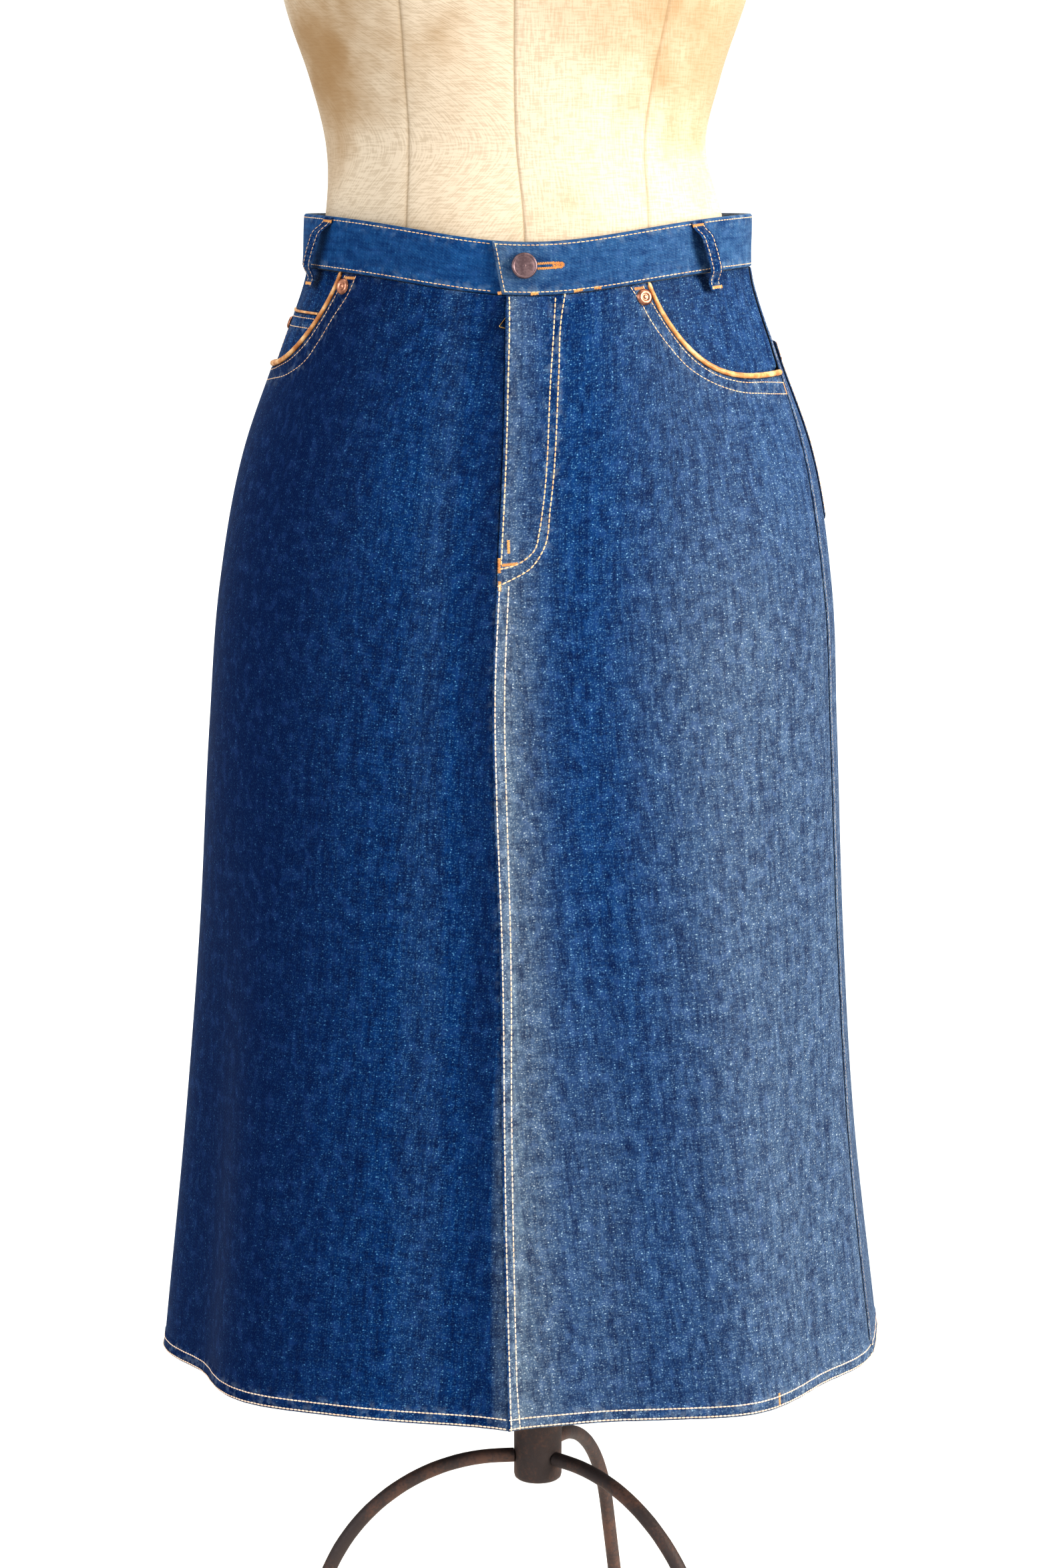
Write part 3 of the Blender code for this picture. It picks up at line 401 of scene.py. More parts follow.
@dataclass(frozen=True)
class Denim(Surface):
    """Raw indigo twill: dark blue warp over pale weft, with slubs and streaks down the warp, and painted
    light, sheen and shade.
    """

    name: str = "denim"
    deep: Colour = (0.0003, 0.0145, 0.074)
    middle: Colour = (0.0018, 0.056, 0.19)
    fleck: Colour = (0.15, 0.35, 0.54)
    pale: Colour = (0.52, 0.6, 0.66)
    # painted sheen: a pale haze, and its share, laid where light is painted
    painted_sheen: Colour = (0.305, 0.37, 0.37)
    painted_sheen_share: float = 0.19
    # a paler blue for clouds and twill lines; the clouds grow where light is painted
    bloom: Colour = (0.05, 0.11, 0.3)
    fleck_share: float = 1.1
    twill_pitch: float = 0.0016
    twill_lean: float = 28.0
    twill_share: float = 0.07
    warp_turned: bool = False
    edge_pale_share: float = 0.08

    def dress(self, tree: ShaderTree) -> None:
        """Adds the nodes, which read the piece's cloth map, the light and shade painted on it, and its
        pucker and edge numbers.
        """
        place = tree.cloth_place()
        if self.warp_turned:
            place = tree.stretched(place, (1, 1, 1), 90.0)
        streak = tree.noise(place, (420, 55, 1), 2.0, 0.55)
        band = tree.noise(place, (120, 9, 1), 2.0, 0.5)
        cloud = tree.noise(place, (120, 95, 1), 3.0, 0.6)
        broad = tree.noise(place, (11, 4, 1), 2.0)
        weft = tree.noise(place, (110, 620, 1), 2.0, 0.5)
        grain = tree.noise(place, (620, 480, 1), 1.0, 0.5)
        tone = tree.weighted((streak, 0.26), (band, 0.16), (cloud, 0.3), (broad, 0.06), (weft, 0.22))
        patch = tree.step(tone, 0.355, 0.645)
        # the light painted on the piece (above 0) and the shade painted on it (below 0)
        fade = tree.mask("fade")
        painted_light_amount = tree.math("MAXIMUM", fade, 0.0)
        painted_shade = tree.times(tree.math("MINIMUM", fade, 0.0), -0.55)
        colour = tree.blend(patch, self.deep, self.middle)
        # painted shade deepens the colour
        colour = tree.blend(painted_shade, colour, self.deep)
        # the paler blue clouds grow with the painted light
        bloom = tree.plus(0.2, tree.times(painted_light_amount, 0.2))
        colour = tree.blend(tree.times(tree.step(cloud, 0.48, 0.7), bloom), colour, self.bloom)
        # painted sheen: a pale haze laid with the painted light
        painted_sheen = tree.plus(0.35, tree.times(patch, 1.3))
        painted_sheen = tree.times(painted_light_amount, tree.times(painted_sheen, self.painted_sheen_share))
        colour = tree.blend(painted_sheen, colour, self.painted_sheen)
        # the flecks turn paler with the painted light and fewer in the painted shade
        fleck = tree.blend(painted_light_amount, self.fleck, self.pale)
        gather = tree.plus(0.3, tree.times(patch, 0.7))
        gather = tree.times(gather, tree.minus(1.0, tree.times(painted_shade, 0.8)))
        for scale, radius, share in (
            ((520, 640, 1), 0.32, 0.42), ((210, 700, 1), 0.22, 0.42),
            ((800, 260, 1), 0.22, 0.38), ((170, 230, 1), 0.12, 1.15),
        ):
            slub = tree.times(tree.dots(place, scale, radius), self.fleck_share * share)
            colour = tree.blend(tree.times(slub, gather), colour, fleck)
        twill = self.twill(tree, place)
        share = tree.times(twill, self.twill_share)
        # the twill lines turn paler with the painted light
        line = tree.blend(painted_light_amount, self.bloom, tuple(c * 0.45 for c in self.pale))
        colour = tree.blend(share, colour, line)
        pucker = tree.mask("pucker")
        rope = tree.noise(place, (170, 170, 1), 1.0)
        # painted highlight: paler on the puckers' raised ridges beside the stitches
        painted_highlight = tree.times(pucker, tree.step(rope, 0.48, 0.66))
        colour = tree.blend(tree.times(painted_highlight, 0.16), colour, self.pale)
        # paler along the sheet's outline
        edge = tree.times(tree.mask("edge"), self.edge_pale_share)
        colour = tree.blend(edge, colour, tuple(c * 0.55 for c in self.pale))
        tree.paint(colour)
        tree.plain(
            Roughness=0.55, Specular_IOR_Level=0.08, Sheen_Weight=0.02, Sheen_Roughness=0.5,
            Sheen_Tint=(0.55, 0.66, 0.9),
        )
        roping = tree.times(pucker, rope)
        height = tree.weighted((twill, 0.25), (grain, 0.3), (streak, 0.6), (roping, 2.6))
        tree.bump(height, 0.00032, 0.8)

    def twill(self, tree: ShaderTree, place: Socket) -> Socket:
        """The diagonal lines of the twill, from 0 to 1."""
        turns, lean = math.tau / self.twill_pitch, math.radians(self.twill_lean)
        way = (turns * math.cos(lean), turns * math.sin(lean), 0.0)
        slope = tree.node("ShaderNodeVectorMath", {0: place, 1: way}, operation="DOT_PRODUCT")
        waver = tree.times(tree.noise(place, (420, 300, 1), 1.0), 5.0)
        wave = tree.math("SINE", tree.plus(slope.outputs["Value"], waver))
        return tree.step(wave, -1.0, 1.0)


@dataclass(frozen=True)
class DenimBack(Surface):
    """The inner side of the twill, where the undyed weft shows."""

    name: str = "denim_inside"
    weft: Colour = (0.15, 0.19, 0.26)
    warp: Colour = (0.03, 0.055, 0.11)

    def dress(self, tree: ShaderTree) -> None:
        """Adds the nodes."""
        place = tree.cloth_place()
        streak = tree.noise(place, (420, 60, 1), 3.0)
        grain = tree.noise(place, (900, 700, 1), 1.0)
        share = tree.weighted((streak, 0.6), (grain, 0.4))
        tree.paint(tree.blend(tree.step(share, 0.35, 0.62), self.warp, self.weft))
        tree.plain(Roughness=0.92, Specular_IOR_Level=0.2, Sheen_Weight=0.2)
        tree.bump(grain, 0.0003, 0.6)


@dataclass(frozen=True)
class Thread(Surface):
    """Polyester topstitch thread."""

    name: str
    colour: Colour
    shade: Colour

    def dress(self, tree: ShaderTree) -> None:
        """Adds the nodes."""
        place = tree.object_place()
        fibre = tree.noise(place, (2600, 2600, 2600), 1.0)
        run = tree.noise(place, (90, 90, 90), 1.0)
        share = tree.weighted((fibre, 0.6), (run, 0.5))
        tree.paint(tree.blend(tree.step(share, 0.35, 0.7), self.shade, self.colour))
        tree.plain(Roughness=0.55, Specular_IOR_Level=0.4, Sheen_Weight=0.3)
        tree.bump(fibre, 0.0001, 0.6)


@dataclass(frozen=True)
class Leather(Surface):
    """Tan leather of the piping, with darker patches and painted highlights in pale patches."""

    name: str = "leather"
    tan: Colour = (0.72, 0.37, 0.15)
    dark: Colour = (0.52, 0.21, 0.07)
    # the colour of the painted highlights
    painted_highlight: Colour = (0.98, 0.67, 0.38)

    def dress(self, tree: ShaderTree) -> None:
        """Adds the nodes."""
        place = tree.object_place()
        patch = tree.noise(place, (140, 140, 140), 3.0)
        pore = tree.noise(place, (1900, 1900, 1900), 2.0)
        colour = tree.blend(tree.step(patch, 0.32, 0.56), self.dark, self.tan)
        # painted highlights in pale patches
        colour = tree.blend(tree.times(tree.step(patch, 0.5, 0.72), 0.75), colour, self.painted_highlight)
        tree.paint(colour)
        tree.plain(Roughness=0.42, Specular_IOR_Level=0.5, Coat_Weight=0.15, Coat_Roughness=0.35)
        height = tree.plus(pore, tree.times(patch, 2.0))
        tree.bump(height, 0.00025, 0.6)


@dataclass(frozen=True)
class Metal(Surface):
    """A stamped metal with brighter and duller patches."""

    name: str
    base: Colour
    dull: Colour
    roughness: float = 0.38
    grain: float = 900.0

    def dress(self, tree: ShaderTree) -> None:
        """Adds the nodes."""
        place = tree.object_place()
        patch = tree.noise(place, (260, 260, 260), 4.0, 0.6)
        fine = tree.noise(place, (self.grain,) * 3, 3.0, 0.6)
        colour = tree.blend(tree.step(patch, 0.38, 0.62), self.dull, self.base)
        tree.paint(colour)
        rough = tree.plus(tree.times(fine, 0.25), self.roughness - 0.12)
        tree.feed(tree.surface.inputs["Roughness"], rough)
        tree.plain(Metallic=1.0)
        tree.bump(fine, 0.00006, 0.5)


@dataclass(frozen=True)
class Iron(Surface):
    """Old dark iron with a skin of rust."""

    name: str = "iron"
    bare: Colour = (0.105, 0.086, 0.086)
    rust: Colour = (0.2, 0.125, 0.105)

    def dress(self, tree: ShaderTree) -> None:
        """Adds the nodes."""
        place = tree.object_place()
        patch = tree.noise(place, (38, 38, 26), 5.0, 0.62)
        pit = tree.noise(place, (430, 430, 430), 4.0, 0.65)
        share = tree.weighted((patch, 0.65), (pit, 0.35))
        tree.paint(tree.blend(tree.step(share, 0.44, 0.62), self.bare, self.rust))
        tree.feed(tree.surface.inputs["Roughness"], tree.plus(tree.times(pit, 0.35), 0.45))
        tree.plain(Metallic=0.55, Specular_IOR_Level=0.4)
        tree.bump(tree.plus(pit, patch), 0.0005, 0.8)


@dataclass(frozen=True)
class Linen(Surface):
    """Old beige linen with slubs, faint seams and brown stains."""

    name: str = "linen"
    light: Colour = (0.77, 0.655, 0.525)
    thread: Colour = (0.64, 0.53, 0.41)
    stain: Colour = (0.4, 0.245, 0.115)
    seam: Colour = (0.33, 0.23, 0.135)
    # centre, radius, strength
    stains: tuple[tuple[Triple, float, float], ...] = (
        ((-0.148, -0.06, 1.3), 0.07, 0.85),
        ((-0.052, -0.12, 1.312), 0.026, 0.55),
        ((0.15, -0.05, 1.31), 0.11, 0.6),
        ((0.06, -0.105, 1.345), 0.07, 0.3),
        ((-0.1, 0.08, 1.4), 0.09, 0.6),
        ((0.08, 0.1, 1.3), 0.07, 0.5),
        ((0, 0.11, 1.5), 0.08, 0.45),
    )

    def dress(self, tree: ShaderTree) -> None:
        """Adds the nodes."""
        place, where = tree.cloth_place(), tree.object_place()
        warp = tree.noise(place, (760, 90, 1), 2.0, 0.5)
        weft = tree.noise(place, (90, 760, 1), 2.0, 0.5)
        weave = tree.weighted((warp, 0.5), (weft, 0.5))
        colour = tree.blend(tree.step(weave, 0.4, 0.56), self.thread, self.light)
        cloud = tree.noise(where, (9, 9, 6), 4.0, 0.6)
        colour = tree.blend(tree.times(tree.step(cloud, 0.46, 0.72), 0.42), colour, self.stain)
        for centre, radius, strength in self.stains:
            colour = self.spot(tree, colour, where, centre, radius, strength)
        colour = tree.blend(tree.times(tree.mask("seam"), 0.55), colour, self.seam)
        tree.paint(colour)
        tree.plain(Roughness=0.9, Specular_IOR_Level=0.2, Sheen_Weight=0.12)
        tree.bump(weave, 0.0004, 0.7)

    def spot(
        self, tree: ShaderTree, colour: Socket, where: Socket,
        centre: Triple, radius: float, strength: float,
    ) -> Socket:
        """Adds one stain with a ragged edge."""
        off = tree.node("ShaderNodeVectorMath", {0: where, 1: centre}, operation="DISTANCE")
        ragged = tree.times(tree.noise(where, (34, 34, 34), 3.0), radius * 1.1)
        near = tree.minus(off.outputs["Value"], ragged)
        share = tree.minus(1.0, tree.step(near, -radius * 0.35, radius * 0.65))
        return tree.blend(tree.times(share, strength), colour, self.stain)


@dataclass(frozen=True)
class Wood(Surface):
    """Dark waxed wood with a straight grain."""

    name: str = "wood"
    light: Colour = (0.25, 0.12, 0.052)
    dark: Colour = (0.085, 0.038, 0.018)

    def dress(self, tree: ShaderTree) -> None:
        """Adds the nodes."""
        place = tree.object_place()
        grain = tree.noise(place, (8, 240, 60), 4.0, 0.62)
        pore = tree.noise(place, (40, 1100, 300), 2.0)
        share = tree.weighted((grain, 0.75), (pore, 0.25))
        tree.paint(tree.blend(tree.step(share, 0.36, 0.62), self.dark, self.light))
        tree.plain(Roughness=0.42, Coat_Weight=0.2, Coat_Roughness=0.3)
        tree.bump(share, 0.0003, 0.5)


@dataclass(frozen=True)
class ZipTape(Surface):
    """Woven navy tape."""

    name: str = "zip_tape"
    navy: Colour = (0.012, 0.018, 0.04)
    ridge: Colour = (0.04, 0.052, 0.09)

    def dress(self, tree: ShaderTree) -> None:
        """Adds the nodes."""
        weave = tree.noise(tree.cloth_place(), (600, 1500, 1), 1.0)
        tree.paint(tree.blend(tree.step(weave, 0.4, 0.6), self.navy, self.ridge))
        tree.plain(Roughness=0.85, Sheen_Weight=0.2)
        tree.bump(weave, 0.0002, 0.6)


class Finish(Enum):
    """Every finish on the object, by the maker's name for it."""

    DENIM = Denim()
    BAND_DENIM = Denim(
        "denim_band", deep=(0.004, 0.042, 0.145), middle=(0.022, 0.118, 0.29),
        fleck_share=0.45, twill_share=0.14, warp_turned=True,
    )
    INSIDE = DenimBack()
    BEIGE_THREAD = Thread("thread_beige", (1.0, 0.71, 0.45), (0.72, 0.38, 0.2))
    CREAM_THREAD = Thread("thread_cream", (1.0, 0.8, 0.64), (0.78, 0.52, 0.38))
    ORANGE_THREAD = Thread("thread_orange", (0.88, 0.47, 0.17), (0.56, 0.22, 0.06))
    PALE_THREAD = Thread("thread_pale", (0.52, 0.48, 0.47), (0.2, 0.21, 0.26))
    LEATHER = Leather()
    ANTIQUE = Metal("antique_copper", (0.33, 0.235, 0.25), (0.215, 0.15, 0.165), 0.46)
    COPPER = Metal("copper", (0.64, 0.33, 0.23), (0.36, 0.18, 0.13), 0.36)
    BRASS = Metal("brass", (0.62, 0.42, 0.19), (0.38, 0.23, 0.09), 0.34)
    IRON = Iron()
    LINEN = Linen()
    WOOD = Wood()
    TAPE = ZipTape()

    def material(self) -> bpy.types.Material:
        """The finish's material, made once."""
        name = f"finish_{self.value.name}"
        found = bpy.data.materials.get(name)
        if found is None:
            found = self.value.make()
            found.name = name
        return found


# ---- meshes


def hang(made: Object, slot: str, *replaces: str) -> Object:
    """Puts an object on the fixed body, and hides the nodes that it stands for."""
    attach(made, BODY)
    if replaces:
        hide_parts(*replaces)
    LOG.info("%s: %d faces", made.name, len(made.data.polygons))
    return made


def put(name: str, data: bpy.types.ID) -> Object:
    """A new object at the origin, in the scene."""
    made = bpy.data.objects.new(name, data)
    bpy.context.scene.collection.objects.link(made)
    return made


def new_object(name: str, mesh: Mesh, finishes: Iterable[Finish]) -> Object:
    """A new object of a mesh with its materials."""
    mesh.name = name
    mesh.materials.clear()
    for finish in finishes:
        mesh.materials.append(finish.material())
    return put(name, mesh)


def make_piece(name: str, slot: str, mesh: Mesh, finish: Finish, called: str = "") -> None:
    """Makes an object of one finish that stands for the node of its name."""
    hang(new_object(called or name, mesh, [finish]), slot, name)


def mesh_from(points: Array, faces: Array, smooth: float = 50.0) -> Mesh:
    """A mesh from points and quads, shaded smooth but for edges sharper than an angle."""
    mesh = bpy.data.meshes.new("mesh")
    mesh.from_pydata(points.reshape(-1, 3).tolist(), [], faces.tolist())
    mesh.shade_smooth()
    mesh.set_sharp_from_angle(angle=math.radians(smooth))
    return mesh


def store(mesh: Mesh, name: str, values: Array) -> None:
    """Stores a number on each of the mesh's points."""
    stored = mesh.attributes.new(name, "FLOAT", "POINT")
    stored.data.foreach_set("value", values.astype(np.float32))


def store_map(mesh: Mesh, places: Array) -> None:
    """Lays the cloth's own map on the mesh, from a place in metres for each of its points."""
    corners = np.empty(len(mesh.loops), np.int32)
    mesh.loops.foreach_get("vertex_index", corners)
    layer = mesh.uv_layers.new(name="cloth")
    layer.data.foreach_set("uv", places[corners].astype(np.float32).ravel())


def grid_faces(columns: int, rows: int, closed: bool = False) -> Array:
    """Quads over a grid of points that is stored column by column."""
    wide = columns if closed else columns - 1
    c, r = np.meshgrid(np.arange(wide), np.arange(rows - 1), indexing="ij")
    a = (c * rows + r).ravel()
    b = (((c + 1) % columns) * rows + r).ravel()
    return np.stack([a, a + 1, b + 1, b], -1)


def rim_faces(columns: int, rows: int) -> Array:
    """Quads that join the outer and inner grids of a shell along its four edges."""
    count, last = columns * rows, (columns - 1) * rows
    rim = list(range(rows))
    rim += [c * rows + rows - 1 for c in range(1, columns)]
    rim += list(range(last + rows - 2, last - 1, -1))
    rim += [c * rows for c in range(columns - 2, 0, -1)]
    rim = np.array(rim)
    after = np.roll(rim, -1)
    return np.stack([after, rim, count + rim, count + after], -1)


def lathe(profile: Places | Table, steps: int, place: Matrix) -> Mesh:
    """A round mesh about its own Z from a profile of radius and height, outer side downwards."""
    turns = np.arange(steps) * math.tau / steps
    radius = np.array([row[0] for row in profile])
    height = np.array([row[1] for row in profile])
    ring = np.stack([
        np.cos(turns)[:, None] * radius, np.sin(turns)[:, None] * radius,
        np.broadcast_to(height, (steps, len(profile))),
    ], -1)
    mesh = mesh_from(ring, grid_faces(steps, len(profile), closed=True), 40.0)
    mesh.transform(place)
    clean(mesh)
    return mesh


def clean(mesh: Mesh, join: bool = True) -> None:
    """Turns the faces outwards, and joins points that lie on each other, as at a turned piece's poles."""
    work = bmesh.new()
    work.from_mesh(mesh)
    if join:
        bmesh.ops.remove_doubles(work, verts=work.verts, dist=1e-7)
    bmesh.ops.recalc_face_normals(work, faces=work.faces)
    work.to_mesh(mesh)
    work.free()


def rounded(profile: Places | Table, steps: int) -> Places:
    """A profile with more rows on a smooth curve through the given ones."""
    table = [(float(k), *row) for k, row in enumerate(profile)]
    at = np.linspace(0, len(profile) - 1, (len(profile) - 1) * steps + 1)
    return list(zip(along(tuple(table), 1, at), along(tuple(table), 2, at)))


def sweep(points: Array, radius: Array, sides: int, waver: float = 0.0) -> Mesh:
    """A round rod along points, closed at both ends, with a slightly uneven thickness."""
    tangents = unit(np.gradient(points, axis=0))
    up = np.array([0.0, 0.0, 1.0])
    first = np.cross(tangents[0], up if abs(tangents[0][2]) < 0.9 else np.array([1.0, 0, 0]))
    across = [unit(first)]
    for tangent in tangents[1:]:
        side = across[-1] - tangent * np.dot(across[-1], tangent)
        across.append(unit(side))
    across = np.array(across)
    over = np.cross(tangents, across)
    turns = np.arange(sides) * math.tau / sides
    radius = np.broadcast_to(radius, (len(points),)).copy()
    if waver:
        radius *= 1 + waver * np.sin(np.arange(len(points)) * 1.7) * np.cos(np.arange(len(points)) * 0.37)
    ring = points[None] + radius[None, :, None] * (
        np.cos(turns)[:, None, None] * across[None] + np.sin(turns)[:, None, None] * over[None]
    )
    faces = grid_faces(sides, len(points), closed=True).tolist()
    rows = len(points)
    faces.append([k * rows for k in range(sides)])
    faces.append([k * rows + rows - 1 for k in reversed(range(sides))])
    mesh = bpy.data.meshes.new("rod")
    mesh.from_pydata(ring.reshape(-1, 3).tolist(), [], faces)
    clean(mesh)
    mesh.shade_smooth()
    mesh.set_sharp_from_angle(angle=math.radians(50))
    return mesh


def facing_out(angle: float, drop: float, out: float, spin: float = 0.0) -> Matrix:
    """A frame on the skirt: Z outwards, Y up the cloth, spun about Z by some degrees."""
    outwards = Vector(SKIRT.normal(angle, drop))
    upwards = Vector(SKIRT.point(angle, drop - 0.005) - SKIRT.point(angle, drop + 0.005)).normalized()
    across = upwards.cross(outwards).normalized()
    turn = Matrix((across, outwards.cross(across), outwards)).transposed().to_4x4()
    where = Matrix.Translation(Vector(SKIRT.out(angle, drop, np.float64(out))))
    return where @ turn @ Matrix.Rotation(math.radians(spin), 4, "Z")


# ---- stitching


class Body(Enum):
    """The shape that is repeated along a path."""

    STITCH = "stitch"
    TOOTH = "tooth"


@dataclass(frozen=True)
class Repeat:
    """How a small body is repeated along paths: its sizes, its spacing and how it turns."""

    name: str
    pitch: float
    length: float
    width: float
    height: float
    turn: float = 0.0
    zigzag: float = 0.0
    jitter: float = 3.0
    body: Body = Body.STITCH
    seed: int = 7

    def sizes(self) -> dict[str, float]:
        """The sizes that the node tree has an input for."""
        return {
            "Pitch": self.pitch, "Length": self.length, "Width": self.width, "Height": self.height,
            "Turn": self.turn, "Zigzag": self.zigzag, "Jitter": self.jitter,
        }

    def tree(self, finish: Finish) -> bpy.types.NodeTree:
        """Builds the node tree that lays the bodies along the paths.

        Args:
            finish: What the bodies are finished with.

        Returns:
            A node tree with an input for each of its sizes.
        """
        tree = bpy.data.node_groups.new(self.name, "GeometryNodeTree")
        face = tree.interface
        face.new_socket("Geometry", in_out="INPUT", socket_type="NodeSocketGeometry")
        for name in self.sizes():
            face.new_socket(name, in_out="INPUT", socket_type="NodeSocketFloat")
        face.new_socket("Geometry", in_out="OUTPUT", socket_type="NodeSocketGeometry")
        bench = NodeBench(tree)
        node = bench.node
        sizes = node("NodeGroupInput").outputs
        curve = node("GeometryNodeMeshToCurve", {"Mesh": sizes["Geometry"]}).outputs["Curve"]
        spaced = node("GeometryNodeResampleCurve", mode="LENGTH")
        bench.feed(spaced.inputs["Curve"], curve)
        bench.feed(spaced.inputs["Length"], sizes["Pitch"])
        spread = node("GeometryNodeInstanceOnPoints", {
            "Points": spaced.outputs["Curve"], "Instance": self.unit_body(bench, sizes),
            "Rotation": self.turned(bench, sizes),
        })
        real = node("GeometryNodeRealizeInstances", {"Geometry": spread.outputs["Instances"]})
        smooth = node("GeometryNodeSetShadeSmooth", {
            "Geometry": real.outputs["Geometry"], "Shade Smooth": self.body is Body.STITCH,
        })
        painted = node("GeometryNodeSetMaterial", {
            "Geometry": smooth.outputs["Geometry"], "Material": finish.material(),
        })
        node("NodeGroupOutput", {"Geometry": painted.outputs["Geometry"]})
        return tree

    def turned(self, bench: NodeBench, sizes: bpy.types.bpy_prop_collection) -> Socket:
        """Each body's turn: along the path, off the cloth, and then an angle of its own."""
        node = bench.node
        tangent = node("GeometryNodeInputTangent").outputs[0]
        lift = node("GeometryNodeInputNamedAttribute", {"Name": "lift"}, data_type="FLOAT_VECTOR")
        run = node("FunctionNodeAlignRotationToVector", {"Vector": tangent}, axis="X")
        stand = node("FunctionNodeAlignRotationToVector", {
            "Rotation": run.outputs["Rotation"], "Vector": lift.outputs["Attribute"],
        }, axis="Z", pivot_axis="X")
        index = node("GeometryNodeInputIndex").outputs[0]
        other = bench.minus(bench.times(bench.math("MODULO", index, 2.0), 2.0), 1.0)
        chance = node("FunctionNodeRandomValue", data_type="FLOAT")
        floats = [socket for socket in chance.inputs if socket.type == "VALUE" and socket.enabled]
        floats[0].default_value, floats[1].default_value = -1.0, 1.0
        chance.inputs["Seed"].default_value = self.seed
        drawn = next(socket for socket in chance.outputs if socket.type == "VALUE" and socket.enabled)
        spin = bench.plus(sizes["Turn"], bench.times(other, sizes["Zigzag"]))
        spin = bench.plus(spin, bench.times(drawn, sizes["Jitter"]))
        angles = node("ShaderNodeCombineXYZ", {"Z": bench.math("RADIANS", spin)}).outputs[0]
        own = node("FunctionNodeEulerToRotation", {0: angles}).outputs[0]
        whole = {0: stand.outputs["Rotation"], 1: own}
        return node("FunctionNodeRotateRotation", whole, rotation_space="LOCAL").outputs[0]

    def unit_body(self, bench: NodeBench, sizes: bpy.types.bpy_prop_collection) -> Socket:
        """One body at its real size: a thread's long bead, or a tooth's block."""
        node, turn = bench.node, (0.0, 0.0, 0.0)
        if self.body is Body.STITCH:
            body = node("GeometryNodeMeshUVSphere", {"Segments": 8, "Rings": 5})
            order, share, turn = ("Height", "Width", "Length"), 0.5, (0.0, math.pi / 2, 0.0)
        else:
            body = node("GeometryNodeMeshCube")
            order, share = ("Length", "Width", "Height"), 1.0
        lengths = {axis: bench.times(sizes[name], share) for axis, name in enumerate(order)}
        scale = node("ShaderNodeCombineXYZ", lengths)
        shaped = node("GeometryNodeTransform", {
            "Geometry": body.outputs["Mesh"], "Rotation": turn, "Scale": scale.outputs[0],
        })
        return shaped.outputs["Geometry"]

    def lay(self, name: str, paths: list[tuple[Array, Array]], finish: Finish) -> Object:
        """Repeats the body along paths.

        Args:
            name: The new object's name.
            paths: For each path its points and the outward direction at each.
            finish: What the bodies are finished with.

        Returns:
            A plain mesh object with every body in it.
        """
        points = np.concatenate([p for p, _ in paths])
        lifts = np.concatenate([n for _, n in paths])
        edges, base = [], 0
        for path, _ in paths:
            edges += [(base + k, base + k + 1) for k in range(len(path) - 1)]
            base += len(path)
        mesh = bpy.data.meshes.new(f"{name}_path")
        mesh.from_pydata(points.tolist(), edges, [])
        stored = mesh.attributes.new("lift", "FLOAT_VECTOR", "POINT")
        stored.data.foreach_set("vector", lifts.astype(np.float32).ravel())
        path = put(f"{name}_path", mesh)
        modifier = path.modifiers.new("repeat", "NODES")
        tree = self.tree(finish)
        modifier.node_group = tree
        sizes = self.sizes()
        for socket in tree.interface.items_tree:
            if socket.in_out == "INPUT" and socket.name in sizes:
                modifier[socket.identifier] = sizes[socket.name]
        graph = bpy.context.evaluated_depsgraph_get()
        solid = bpy.data.meshes.new_from_object(path.evaluated_get(graph))
        path.modifiers.clear()
        bpy.data.objects.remove(path)
        return new_object(name, solid, [finish])


TOPSTITCH = Repeat("topstitch", pitch=0.0037, length=0.0035, width=0.00118, height=0.00065)
FINE_STITCH = Repeat("fine_stitch", pitch=0.0031, length=0.0028, width=0.00082, height=0.0005)
BARTACK = Repeat(
    "bartack", pitch=0.0005, length=0.0027, width=0.00055, height=0.0005, turn=90.0, zigzag=9.0,
)
BUTTONHOLE = Repeat(
    "buttonhole_stitch", pitch=0.0006, length=0.0021, width=0.0006, height=0.00055, turn=90.0,
    zigzag=8.0, jitter=6.0,
)
HEM_STITCH = Repeat("hem_stitch", pitch=0.0029, length=0.0029, width=0.00115, height=0.0006)
TEETH = Repeat(
    "zip_teeth", pitch=0.0013, length=0.0009, width=0.0038, height=0.0018, jitter=0.0, body=Body.TOOTH,
)


@dataclass
class Stitching:
    """Rows of one kind of stitch in one thread, gathered into one piece."""

    name: str
    kind: Repeat
    thread: Finish
    rows: list[tuple[Array, Array]] = field(default_factory=list)

    def row(self, places: Places | Table, face: Face, sunk: float = 0.00005) -> None:
        """Adds a row along places on the skirt.

        Args:
            places: Angle and drop of points that the row runs through, on a smooth curve.
            face: How far the cloth that it lies on stands out of the skirt's surface.
            sunk: How deep the thread's middle lies in the cloth.
        """
        angle, drop = np.array([p[0] for p in places]), np.array([p[1] for p in places])
        steps = np.linalg.norm(np.diff(SKIRT.point(angle, drop), axis=0), axis=1)
        run = np.concatenate([[0.0], np.cumsum(np.maximum(steps, 1e-6))])
        at = np.linspace(0, run[-1], max(int(run[-1] / 0.0015), 3))
        angle = along(tuple(zip(run, angle)), 1, at)
        drop = along(tuple(zip(run, drop)), 1, at)
        points = SKIRT.out(angle, drop, face(angle, drop) - sunk)
        self.rows.append((points, SKIRT.normal(angle, drop)))

    def points(self) -> Array:
        """Every point of every row."""
        return np.concatenate([points for points, _ in self.rows])

    def sew(self) -> Object:
        """Makes the piece."""
        made = self.kind.lay(self.name, self.rows, self.thread)
        return hang(made, "denim")


# ---- cloth pieces


